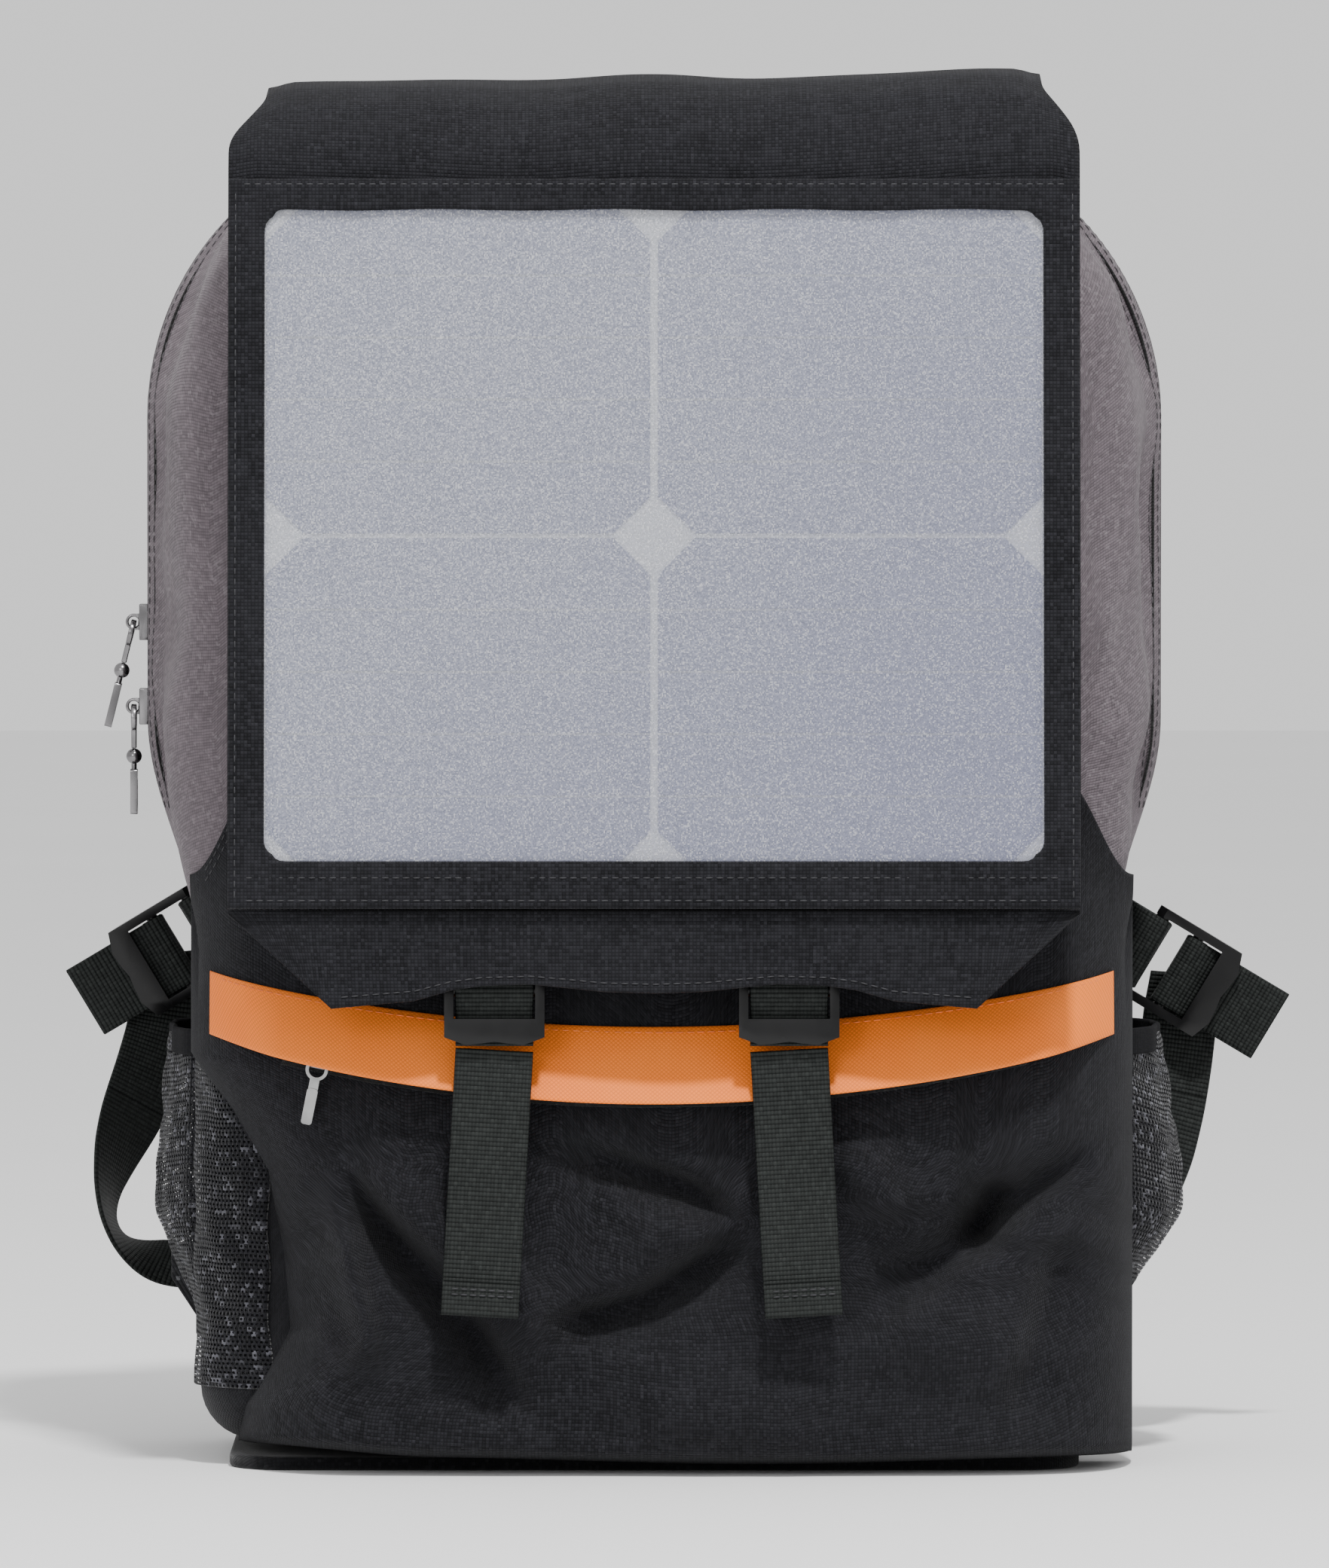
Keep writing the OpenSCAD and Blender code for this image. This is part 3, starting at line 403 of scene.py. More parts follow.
def group(name, inputs, outputs):
    """A new shader node group with float or vector inputs and float outputs, as (tree, wiring, in, out)."""
    tree = bpy.data.node_groups.new(name, "ShaderNodeTree")
    for label, kind, value in inputs:
        made = tree.interface.new_socket(label, in_out="INPUT", socket_type=kind)
        if value is not None:
            made.default_value = value
    for label in outputs:
        tree.interface.new_socket(label, in_out="OUTPUT", socket_type="NodeSocketFloat")
    wires = Wiring(tree)
    return tree, wires, wires.node("NodeGroupInput").outputs, wires.node("NodeGroupOutput").inputs


VECTOR, FLOAT = "NodeSocketVector", "NodeSocketFloat"


def plain_weave():
    """Over and under threads: the product of one sine across and one along. Each thread, and each short
    run of it, has its own seeded shade. Flecks are the few crossings with a pale fibre."""
    tree, w, i, o = group("plain weave", [("Place", VECTOR, None), ("Thread", FLOAT, 0.0008)],
                          ["Shade", "Height", "Fleck"])
    x, y, _ = w.parts(i["Place"])
    u, v = w.math("DIVIDE", x, i["Thread"]), w.math("DIVIDE", y, i["Thread"])
    s = w.math("MULTIPLY", w.math("SINE", w.math("MULTIPLY", u, math.pi)),
               w.math("SINE", w.math("MULTIPLY", v, math.pi)))
    over = w.math("GREATER_THAN", s, 0.0)
    fu, fv = w.math("FLOOR", u), w.math("FLOOR", v)
    warp = w.random(fu, w.math("FLOOR", w.math("DIVIDE", v, 5.0)), 1.5)
    weft = w.random(w.math("FLOOR", w.math("DIVIDE", u, 5.0)), fv, 7.5)
    shade = w.math("ADD", w.math("MULTIPLY", warp, over), w.math("MULTIPLY", weft, w.math("SUBTRACT", 1.0, over)))
    height = w.math("POWER", w.math("ABSOLUTE", s), 0.5)
    # Painted shade: Shade is 55 per cent seeded thread tone and 45 per cent thread height, so the hollows between
    # threads are painted darker and the crowns lighter; only the thread tone is the cloth's own
    w.join(w.math("ADD", w.math("MULTIPLY", shade, 0.55), w.math("MULTIPLY", height, 0.45)), o["Shade"])
    w.join(height, o["Height"])
    w.join(w.ramp(w.random(fu, fv, 3.5), 0.8, 1.0), o["Fleck"])
    return tree


def twill_weave():
    """Slanting ribs: a sine of across plus along, with a seeded shade for each rib and for short runs of it."""
    tree, w, i, o = group("twill weave", [("Place", VECTOR, None), ("Thread", FLOAT, 0.001)],
                          ["Shade", "Height", "Fleck"])
    x, y, _ = w.parts(i["Place"])
    u, v = w.math("DIVIDE", x, i["Thread"]), w.math("DIVIDE", y, i["Thread"])
    rib = w.math("ADD", u, w.math("MULTIPLY", v, 0.6))
    wave = w.math("ABSOLUTE", w.math("SINE", w.math("MULTIPLY", rib, math.pi)))
    cross = w.math("ABSOLUTE", w.math("SINE", w.math("MULTIPLY", v, math.pi * 0.9)))
    height = w.math("MULTIPLY", w.math("POWER", wave, 0.6), w.math("ADD", w.math("MULTIPLY", cross, 0.5), 0.5))
    tone = w.random(w.math("FLOOR", rib), w.math("FLOOR", w.math("DIVIDE", v, 2.0)), 2.5)
    # Painted shade: Shade is 45 per cent seeded rib tone and 55 per cent rib height, so the hollows between ribs are
    # painted darker and the crowns lighter; only the rib tone is the cloth's own
    w.join(w.math("ADD", w.math("MULTIPLY", tone, 0.45), w.math("MULTIPLY", height, 0.55)), o["Shade"])
    w.join(height, o["Height"])
    w.join(w.ramp(w.random(w.math("FLOOR", u), w.math("FLOOR", v), 5.5), 0.82, 1.0), o["Fleck"])
    return tree


def ribbed_weave():
    """Webbing: ribs across its length as a sine of the length, each cut by the sine of fine ends across."""
    tree, w, i, o = group("ribbed webbing", [("Place", VECTOR, None), ("Thread", FLOAT, 0.0012)],
                          ["Shade", "Height", "Fleck"])
    x, y, _ = w.parts(i["Place"])
    v = w.math("DIVIDE", y, i["Thread"])
    u = w.math("DIVIDE", x, w.math("MULTIPLY", i["Thread"], 0.8))
    rib = w.math("ABSOLUTE", w.math("SINE", w.math("MULTIPLY", v, math.pi)))
    end = w.math("ABSOLUTE", w.math("SINE", w.math("MULTIPLY", u, math.pi)))
    height = w.math("ADD", w.math("MULTIPLY", w.math("POWER", rib, 0.7), 0.7), w.math("MULTIPLY", end, 0.3))
    tone = w.random(w.math("FLOOR", u), w.math("FLOOR", v), 4.5)
    # Painted shade: Shade is 30 per cent seeded tone and 70 per cent rib height, so the hollows between ribs are
    # painted darker and the crowns lighter; only the seeded tone is the webbing's own
    w.join(w.math("ADD", w.math("MULTIPLY", tone, 0.3), w.math("MULTIPLY", height, 0.7)), o["Shade"])
    w.join(height, o["Height"])
    w.join(w.ramp(tone, 0.85, 1.0), o["Fleck"])
    return tree


def rubbed_patches():
    """Wear in broad soft patches: three octaves of noise on the object's own coordinates."""
    tree, w, i, o = group("rubbed patches", [("Place", VECTOR, None), ("Size", FLOAT, 14.0)], ["Mask"])
    made = w.node("ShaderNodeTexNoise")
    w.join(i["Place"], made.inputs["Vector"])
    w.join(i["Size"], made.inputs["Scale"])
    made.inputs["Detail"].default_value = 3.0
    w.join(w.ramp(made.outputs[0], 0.35, 0.68), o["Mask"])
    return tree


GROUPS = {}


def shared_group(name):
    """Each shared group is built once, when a finish first asks for it."""
    if name not in GROUPS:
        GROUPS[name] = {"plain": plain_weave, "twill": twill_weave, "rib": ribbed_weave,
                        "rubbed": rubbed_patches}[name]()
    return GROUPS[name]


def use(w, name, **values):
    """Places a shared group in a material with its own values."""
    made = w.node("ShaderNodeGroup")
    made.node_tree = shared_group(name)
    for key, value in values.items():
        w.join(value, made.inputs[key])
    return made.outputs


def finish_of(name, roughness=0.5, metallic=0.0, sheen=0.0, coat=0.0, specular=0.5):
    """An empty material with its shader, as (material, wiring, shader)."""
    made = bpy.data.materials.new(name)
    made.use_nodes = True
    shader = made.node_tree.nodes["Principled BSDF"]
    shader.inputs["Roughness"].default_value = roughness
    shader.inputs["Metallic"].default_value = metallic
    shader.inputs["Sheen Weight"].default_value = sheen
    shader.inputs["Coat Weight"].default_value = coat
    shader.inputs["Specular IOR Level"].default_value = specular
    return made, Wiring(made.node_tree), shader


def places(w, mapped):
    """Where a pattern lies: the piece's own map, or its coordinates with height as the second."""
    if mapped:
        made = w.node("ShaderNodeUVMap")
        made.uv_map = "UVMap"
        return made.outputs[0]
    x, y, z = w.parts(w.node("ShaderNodeTexCoord").outputs["Object"])
    return w.whole(w.math("ADD", x, w.math("MULTIPLY", y, 0.7)), w.math("ADD", z, w.math("MULTIPLY", y, 0.7)))


def woven(name, colour, thread, kind="plain", mapped=True, pale=(0.3, 0.3, 0.32), bump=0.5, depth=0.25,
          sheen=0.15, flecks=0.35, contrast=0.55, roughness=0.85):
    """A woven finish: painted shade between threads, its colour on them, painted light on the thread crowns, pale
    flecks, and rubbed patches.
    """
    made, w, shader = finish_of(name, roughness, sheen=sheen, specular=0.08)
    c = np.array(colour)
    weave = use(w, kind, Place=places(w, mapped), Thread=thread * MM)
    dark, light = tuple(c * (1 - contrast)) + (1,), tuple(np.minimum(c * (1 + contrast), 1)) + (1,)
    # Painted shade and light: the weave's Shade, partly its height, takes the colour down to dark in the hollows and
    # up to light on the crowns
    tone = w.colour(weave["Shade"], dark, light)
    tone = w.colour(w.math("MULTIPLY", weave["Fleck"], flecks), tone, tuple(pale) + (1,))
    object_place = w.node("ShaderNodeTexCoord").outputs["Object"]
    patch = use(w, "rubbed", Place=object_place, Size=13.0)["Mask"]
    tone = w.colour(w.math("MULTIPLY", patch, 0.22), tone, light)
    w.join(tone, shader.inputs["Base Color"])
    w.join(w.math("SUBTRACT", roughness + 0.05, w.math("MULTIPLY", patch, 0.12)), shader.inputs["Roughness"])
    raised = w.node("ShaderNodeBump")
    raised.inputs["Strength"].default_value = bump
    raised.inputs["Distance"].default_value = depth * MM
    w.join(weave["Height"], raised.inputs["Height"])
    w.join(raised.outputs[0], shader.inputs["Normal"])
    return made, w, shader


def moulded(name, colour, roughness, grain=400.0, bump=0.1, metallic=0.0, coat=0.0, swing=0.08, specular=0.4):
    """A moulded or cast finish: fine grain in its height, and rubbed patches in its colour and gloss."""
    made, w, shader = finish_of(name, roughness, metallic, coat=coat, specular=specular)
    place = w.node("ShaderNodeTexCoord").outputs["Object"]
    patch = use(w, "rubbed", Place=place, Size=90.0)["Mask"]
    c = np.array(colour)
    tone = w.colour(patch, tuple(c * 0.85) + (1,), tuple(np.minimum(c * 1.25, 1)) + (1,))
    w.join(tone, shader.inputs["Base Color"])
    w.join(w.math("ADD", roughness - swing / 2, w.math("MULTIPLY", patch, swing)), shader.inputs["Roughness"])
    raised = w.node("ShaderNodeBump")
    raised.inputs["Strength"].default_value = bump
    raised.inputs["Distance"].default_value = 0.05 * MM
    w.join(w.noise(place, grain), raised.inputs["Height"])
    w.join(raised.outputs[0], shader.inputs["Normal"])
    return made


def make_finishes(tones):
    """Every finish of the bag, by the name its pieces ask for."""
    f = {}
    black = tuple(tones.charcoal)
    f["oxford"] = woven("charcoal oxford", black, tones.thread * 1000, pale=(0.05, 0.05, 0.058), flecks=0.16,
                        sheen=0.04, contrast=0.8, bump=0.9, depth=0.35)[0]
    f["lining"] = woven("black lining", (0.01, 0.01, 0.012), 0.6, pale=(0.06, 0.06, 0.07), flecks=0.15, sheen=0.0)[0]
    f["webbing"] = woven("black webbing", tuple(tones.webbing), 1.5, kind="rib", pale=(0.04, 0.045, 0.042),
                         bump=1.0, depth=0.5, flecks=0.12, contrast=0.9, sheen=0.0, roughness=0.55)[0]
    f["tape"] = woven("black zip tape", (0.012, 0.012, 0.012), 0.7, kind="twill", flecks=0.05)[0]
    f["binding"] = woven("black binding", (0.007, 0.007, 0.008), 0.7, kind="rib", pale=(0.05, 0.05, 0.055),
                         flecks=0.1, sheen=0.0)[0]
    f["herringbone"] = woven("herringbone tab", (0.018, 0.018, 0.02), 1.4, kind="twill", bump=0.9, depth=0.4,
                             pale=(0.12, 0.12, 0.13), flecks=0.3)[0]
    f["air mesh"] = woven("padded air mesh", (0.012, 0.012, 0.014), 2.4, bump=1.0, depth=0.8, flecks=0.1, sheen=0.0,
                          pale=(0.05, 0.05, 0.055))[0]
    f["thread"] = moulded("black thread", (0.022, 0.022, 0.025), 0.6, grain=1500)
    f["pale thread"] = moulded("grey thread", (0.06, 0.055, 0.06), 0.6, grain=1500)
    f["coil"] = moulded("nylon coil", (0.014, 0.014, 0.015), 0.35)
    f["gunmetal"] = moulded("gunmetal plate", (0.2, 0.195, 0.2), 0.24, metallic=1.0, grain=300)
    f["bright steel"] = moulded("bright pull", (0.3, 0.3, 0.3), 0.3, metallic=1.0, grain=300)
    f["buckle"] = moulded("glossy black acetal", (0.003, 0.003, 0.0033), 0.3, grain=250, specular=0.3)
    f["case"] = moulded("matt black case", (0.02, 0.02, 0.022), 0.55, grain=700, bump=0.3)
    f["board"] = moulded("white stiffener", (0.7, 0.7, 0.67), 0.5, grain=120)
    f["green board"] = moulded("green solder mask", (0.03, 0.2, 0.08), 0.35)
    f["tinned"] = moulded("tinned copper", (0.75, 0.75, 0.77), 0.3, metallic=1.0)
    f["steel"] = moulded("nickel steel", (0.68, 0.68, 0.7), 0.28, metallic=1.0)

    made, w, shader = woven("grey heather twill", tuple(tones.shell), 1.05, kind="twill", pale=(0.26, 0.235, 0.25),
                            bump=0.7, depth=0.3, flecks=0.3, contrast=0.5, sheen=0.1, roughness=0.75)
    z = w.parts(w.node("ShaderNodeTexCoord").outputs["Object"])[2]
    above = w.math("GREATER_THAN", z, 0.150)
    tone = shader.inputs["Base Color"].links[0].from_socket
    weave = use(w, "plain", Place=places(w, True), Thread=0.8 * MM)
    dark = w.colour(weave["Shade"], (0.005, 0.005, 0.006, 1), (0.018, 0.018, 0.021, 1))
    w.join(w.colour(above, dark, tone), shader.inputs["Base Color"])
    f["shell"] = made

    made, w, shader = finish_of("orange coated band", 0.55, specular=0.2)
    x, y, _ = w.parts(places(w, True))
    a = w.math("SINE", w.math("MULTIPLY", w.math("ADD", x, y), math.pi / (1.5 * MM)))
    b = w.math("SINE", w.math("MULTIPLY", w.math("SUBTRACT", x, y), math.pi / (1.5 * MM)))
    hatch = w.math("MULTIPLY", w.math("ABSOLUTE", a), w.math("ABSOLUTE", b))
    orange = np.array(tones.band)
    place = w.node("ShaderNodeTexCoord").outputs["Object"]
    patch = use(w, "rubbed", Place=place, Size=24.0)["Mask"]
    # Painted shade: the grooves of the embossed hatch, where its bump is lowest, are painted darker, down to 0.6 of
    # the orange; the hatch itself is the coating's own texture
    tone = w.colour(w.math("POWER", hatch, 0.5), tuple(orange * 0.6) + (1,), tuple(orange) + (1,))
    tone = w.colour(w.math("MULTIPLY", patch, 0.2), tone, (1.0, 0.3, 0.05, 1))
    w.join(tone, shader.inputs["Base Color"])
    raised = w.node("ShaderNodeBump")
    raised.inputs["Strength"].default_value = 0.5
    raised.inputs["Distance"].default_value = 0.15 * MM
    w.join(hatch, raised.inputs["Height"])
    w.join(raised.outputs[0], shader.inputs["Normal"])
    f["orange"] = made

    made, w, shader = woven("open mesh", (0.009, 0.009, 0.011), 1.6, pale=(0.2, 0.2, 0.23), bump=0.8, depth=0.5,
                            flecks=0.5)
    x, y, _ = w.parts(places(w, True))
    row = w.math("FLOOR", w.math("DIVIDE", y, 1.5 * MM))
    shift = w.math("MULTIPLY", w.math("MODULO", w.math("ABSOLUTE", row), 2.0), 0.5)
    hx = w.math("SINE", w.math("MULTIPLY", w.math("ADD", w.math("DIVIDE", x, 1.7 * MM), shift), math.pi))
    hy = w.math("SINE", w.math("MULTIPLY", w.math("DIVIDE", y, 1.5 * MM), math.pi))
    hole = w.ramp(w.math("MULTIPLY", w.math("ABSOLUTE", hx), w.math("ABSOLUTE", hy)), 0.55, 0.65)
    w.join(w.math("SUBTRACT", 1.0, hole), shader.inputs["Alpha"])
    f["mesh"] = made

    # Solar panel: silicon, pale laminate behind it, and a frosted film with a fine grain, painted glints on its palest
    # grains and a painted reflection that is lighter towards its upper left
    made, w, shader = finish_of("blue-grey silicon", 0.35)
    place = w.node("ShaderNodeTexCoord").outputs["Object"]
    w.join(w.colour(w.noise(place, 60.0, 4.0), tuple(np.array(tones.cell) * 0.85) + (1,),
                    tuple(np.array(tones.cell) * 1.15) + (1,)), shader.inputs["Base Color"])
    f["silicon"] = made
    made, w, shader = finish_of("pale laminate", 0.5)
    place = w.node("ShaderNodeTexCoord").outputs["Object"]
    w.join(w.colour(w.noise(place, 200.0), (0.42, 0.425, 0.42, 1), (0.5, 0.505, 0.5, 1)), shader.inputs["Base Color"])
    f["laminate"] = made
    made, w, shader = finish_of("frosted film", 0.4, specular=0.6)
    x, y, z = w.parts(w.node("ShaderNodeTexCoord").outputs["Object"])
    flake = 0.42 * MM
    grain = w.random(w.math("FLOOR", w.math("DIVIDE", x, flake)), 0.0, w.math("FLOOR", w.math("DIVIDE", z, flake)))
    # Painted glints: grains in the top quarter of the grain values are mixed half way to near white
    painted_glints = w.ramp(grain, 0.75, 1.0)
    tone = w.colour(grain, (0.4, 0.42, 0.5, 1), (0.54, 0.55, 0.62, 1))
    # Painted reflection: the film is painted lighter towards its upper left and darker and bluer towards its lower
    # right, with a little noise in the edge of the gradient
    across = w.math("ADD", w.math("MULTIPLY", x, 2.6), w.math("MULTIPLY", z, -2.6))
    painted_reflection_falloff = w.ramp(w.math("ADD", across, w.math("MULTIPLY", w.noise(w.whole(x, y, z), 9.0, 2.0), 0.5)), -1.0, 0.25)
    tone = w.colour(painted_reflection_falloff, tone, (0.3, 0.31, 0.43, 1))
    w.join(w.colour(w.math("MULTIPLY", painted_glints, 0.5), tone, (0.85, 0.85, 0.84, 1)), shader.inputs["Base Color"])
    w.join(w.math("ADD", 0.16, w.math("MULTIPLY", grain, 0.24)), shader.inputs["Alpha"])
    w.join(w.math("ADD", 0.34, w.math("MULTIPLY", grain, 0.2)), shader.inputs["Roughness"])
    raised = w.node("ShaderNodeBump")
    raised.inputs["Strength"].default_value = 0.08
    raised.inputs["Distance"].default_value = 0.05 * MM
    w.join(grain, raised.inputs["Height"])
    w.join(raised.outputs[0], shader.inputs["Normal"])
    f["film"] = made

    # Softened copies have no map, so their weaves read Object coordinates
    f["oxford flat"] = woven("charcoal oxford base", (0.006, 0.006, 0.007), 1.1, mapped=False, flecks=0.03)[0]
    f["lining flat"] = woven("sleeve lining", (0.03, 0.03, 0.034), 0.6, mapped=False, flecks=0.05)[0]
    f["tape flat"] = woven("pocket zip tape", (0.012, 0.012, 0.012), 0.7, kind="twill", mapped=False,
                           flecks=0.05)[0]
    f["coil rows"] = woven("pocket zip coil", (0.02, 0.02, 0.02), 1.3, kind="rib", mapped=False, flecks=0.05,
                           bump=1.0, depth=0.5, roughness=0.4)[0]
    f["herringbone flat"] = woven("corner herringbone", (0.02, 0.02, 0.022), 1.4, kind="twill", mapped=False,
                                  bump=0.9, depth=0.4)[0]
    f["orange thread"] = moulded("orange thread", (0.75, 0.18, 0.04), 0.6, grain=1500)
    return f


FINISH = {}


# ---- Outlines of the body ----
def side_x(z):
    """Half width of the body: the waist's, easing to the belly's between two heights."""
    return mix(WAIST_HALF, BELLY_HALF, smooth((z - 165.0) / 80.0))


def half_outline(inset, foot, corner=None):
    """Right half of the body's outline: foot corner, side that eases outwards, round shoulder, top."""
    r = max(CORNER_R - inset, 4)
    top = BELLY_HALF - inset - r
    g = np.radians(np.linspace(0, 90, 25))
    parts = []
    if corner is not None:
        rc = max(corner - inset, 3)
        h = np.radians(np.linspace(-90, 0, 9))
        parts.append(np.stack([WAIST_HALF - inset - rc + rc * np.cos(h), foot + inset + rc + rc * np.sin(h)], 1))
    low = foot + inset + (max(corner - inset, 3) + 4 if corner is not None else 0)
    z = np.linspace(low, BODY_TOP - CORNER_R - 2, 60)
    parts.append(np.stack([side_x(z) - inset, z], 1))
    parts.append(np.stack([top + r * np.cos(g), BODY_TOP - inset - r + r * np.sin(g)], 1))
    return np.concatenate(parts)


def outline(inset, count=420):
    """The closed outline of the body moved in by inset, as evenly spaced points."""
    half = half_outline(inset, BODY_FOOT, 18.0)
    p = np.concatenate([half, half[::-1] * [-1, 1], half[:1]])
    s = lengths_along(p, 0)
    t = np.linspace(0, s[-1], count, endpoint=False)
    return np.stack([np.interp(t, s, p[:, k]) for k in (0, 1)], 1)


def arch(inset, foot=ZIP_FOOT):
    """The zip's arch over the body from one foot to the other."""
    half = half_outline(inset, foot - inset)
    return np.concatenate([half, half[::-1] * [-1, 1]])


def body_front(i):
    """Depth of the body's front at distance i inside its side."""
    c = 1 - np.clip(i / FRONT_EDGE, 0, 1)
    return FRONT_Y + FRONT_EDGE - (FRONT_EDGE - 4) * np.sqrt(1 - c * c) - 3.7 * smooth((i - FRONT_EDGE) / 60)


def front_rows(t):
    """Rows of the front shell, t inside its face: straight run from the zip, quarter-round edge, nearly
    flat front, each row the outline moved in and set at its depth. Folds come from seeded ripples."""
    y1 = FRONT_Y + 4 + FRONT_EDGE - 4
    rows = []
    for k in np.linspace(0, 1, 8):
        rows.append((t, None if k == 0 else mix(ZIP_Y - 6.0, y1, k), 1.0, k))
    for a in np.radians(np.linspace(0, 90, 12))[1:]:
        rows.append((t + (FRONT_EDGE - t) * (1 - math.cos(a)), y1 - (FRONT_EDGE - 4 - t) * math.sin(a), 1.0, 1.0))
    for share in (0.9, 0.8, 0.65, 0.5, 0.3, 0.1):
        rows.append((FRONT_EDGE, FRONT_Y + mix(1.3, 0, smooth((0.72 - share) / 0.3)) + t, share, 1.0))
    out = []
    for inset, y, share, k in rows:
        p = outline(inset)
        q = np.array([0.0, 235.0]) + (p - [0.0, 235.0]) * share
        rim = ZIP_Y - mix(0.2, 6.0, smooth((p[:, 1] - ZIP_FOOT + 18) / 16))
        depth = rim if y is None else np.minimum(rim, np.full(len(q), y))
        side = smooth((np.abs(q[:, 0]) - 110) / 40) * smooth((q[:, 1] - 190) / 50)
        tuck = 7.5 * side * smooth(k * 1.6) * smooth((440 - q[:, 1]) / 40)
        fold = 2.2 * ripples(q[:, 1] * 0.6, depth + q[:, 0] * 0.4, 34, 4) * side * smooth(k * 2)
        x = q[:, 0] - np.sign(q[:, 0]) * (tuck + fold)
        z = q[:, 1] - 1.0 * smooth((q[:, 1] - 380) / 40) * np.abs(ripples(q[:, 0], depth, 70, 9)) * k
        out.append(np.stack([x, depth, z], 1))
    return np.array(out)


def rear_rows(t):
    """Rows of the rear shell from the zip back to the back panel, with its rounded rear edge."""
    rows = [(t, None, 0.0)] + [(t, mix(ZIP_Y + 6.0, REAR_Y - REAR_EDGE, k), k) for k in np.linspace(0, 1, 9)[1:]]
    for a in np.radians(np.linspace(0, 90, 8))[1:]:
        rows.append((t + (REAR_EDGE - t) * (1 - math.cos(a)),
                     REAR_Y - REAR_EDGE + (REAR_EDGE - t) * math.sin(a), 1.0))
    out = []
    for inset, y, k in rows:
        p = outline(inset)
        rim = ZIP_Y + mix(0.2, 6.0, smooth((p[:, 1] - ZIP_FOOT + 18) / 16))
        depth = rim if y is None else np.maximum(rim, y)
        swell = 0.8 * ripples(p[:, 1], depth * 1.5 + p[:, 0] * 0.3, 60, 14) * smooth(k * 2)
        swell = swell * smooth((p[:, 1] - 170) / 40)
        out.append(np.stack([p[:, 0] - np.sign(p[:, 0]) * np.abs(swell), depth, p[:, 1]], 1))
    return np.array(out)


def closed_shell(name, outer, inner, finish, body, stands_for):
    """Two stacks of rings joined at the rim and capped at the last ring."""
    m, n = outer.shape[:2]
    s = m * n
    j = np.arange(n)
    rim = np.stack([(j + 1) % n, j, j + s, (j + 1) % n + s], 1)
    quads = np.concatenate([band_quads(m, n, True), band_quads(m, n, True, s)[:, ::-1], rim])
    caps = [[(m - 1) * n + int(k) for k in j], [s + (m - 1) * n + int(k) for k in j[::-1]]]
    ring = np.concatenate([outer, outer[:, :1]], 1)
    across = lengths_along(ring, 1)[:, :-1]
    uv = np.stack([np.broadcast_to(across[0], across.shape), lengths_along(outer, 0)], -1)
    return piece(name, np.stack([outer, inner]), quads, finish, body, stands_for, caps, np.stack([uv, uv]))


# ---- Pocket ----
def pocket_top_z(x):
    """Height of the pocket's hem, which drops at its two ends."""
    return POCKET_TOP - 33 * smooth((np.abs(x) - POCKET_HALF + 24) / 24)


def spread_right(x):
    """Moves the right end of the pocket and its band outwards by five millimetres, easing in."""
    return x + 5.0 * smooth((x - 20.0) / 120.0)


def pocket_surface(u, v, t, folded=True):
    """The pocket's wall: across it a high power of u rounds the sides, up it a power of v rounds the
    foot, a slight belly, and the hem leans back to the body. The folds are creases in millimetres."""
    x = (POCKET_HALF - t) * u
    z = mix(POCKET_FOOT + t, pocket_top_z(x), v)
    across = np.maximum(0, 1 - np.abs(u) ** 7) ** 0.4
    foot = np.maximum(0, 1 - (1 - np.minimum(1, v / (0.035 if folded else 0.16))) ** 2.6) ** 0.5
    belly = 1 - 0.085 * smooth((z - 100) / 40)
    face = POCKET_RIM + (POCKET_FACE + t - POCKET_RIM) * across * foot * belly
    hem = np.minimum(POCKET_RIM, body_front(side_x(z) - np.abs(x)) - 0.8 - 2 + t)
    y = mix(face, hem, smooth((z - 128) / (pocket_top_z(x) - 128)))
    if folded:
        free = across * smooth((118 - z) / 22) * smooth((v - 0.01) / 0.05)
        push = np.zeros(x.shape)
        for line, width, depth, lean in FOLDS:
            push += (3.0 if depth > 0 else 2.2) * crease(x, z, line, width, depth, lean)
        push += 0.9 * ripples(x, z, 60, 3) + 0.35 * ripples(x, z, 22, 8)
        y = y + push * free
        slump = np.interp(z, [0, 20, 46, 72, 98, 118, 136], [15, 17, 30, 28, 23, 12, 0])
        x = spread_right(x + slump * smooth((-u - 0.45) / 0.55))
        low = smooth((40 - z) / 40)
        z = z - low * (1.6 + 2.8 * np.exp(-((x - 33) / 75) ** 2)) + low * 3.5 * smooth((-x - 70) / 60)
        z = np.maximum(z, 0.3 + t)
    return np.stack([x, y, z], -1)


FOLDS = [
    # (line of x and z, width, depth into the bag, steeper flank)
    ([(-118, 104), (-96, 84), (-69, 63), (-38, 14)], 7.5, 6.5, 0.35),
    ([(-104, 106), (-80, 88), (-50, 66), (-22, 30)], 10.0, -4.0, 0.0),
    ([(-40, 116), (-12, 104), (12, 94), (36, 78)], 5.5, 4.5, 0.3),
    ([(36, 84), (14, 68), (-2, 58), (-42, 46)], 7.0, 5.0, -0.35),
    ([(-14, 76), (14, 82), (40, 92)], 9.0, -3.2, 0.0),
    ([(150, 120), (118, 92), (96, 74), (56, 42)], 8.0, 5.0, 0.3),
    ([(110, 100), (104, 84), (98, 72)], 6.0, 5.0, 0.0),
    ([(132, 82), (124, 52), (112, 12)], 9.0, 3.6, -0.3),
    ([(58, 114), (70, 98), (80, 82)], 9.0, -4.0, 0.0),
    ([(-126, 88), (-112, 60), (-96, 30)], 10.0, -4.5, 0.2),
    ([(60, 66), (90, 46), (140, 34)], 14.0, -3.0, 0.0),
    ([(-30, 40), (10, 24), (70, 16)], 12.0, -2.4, 0.0),
]


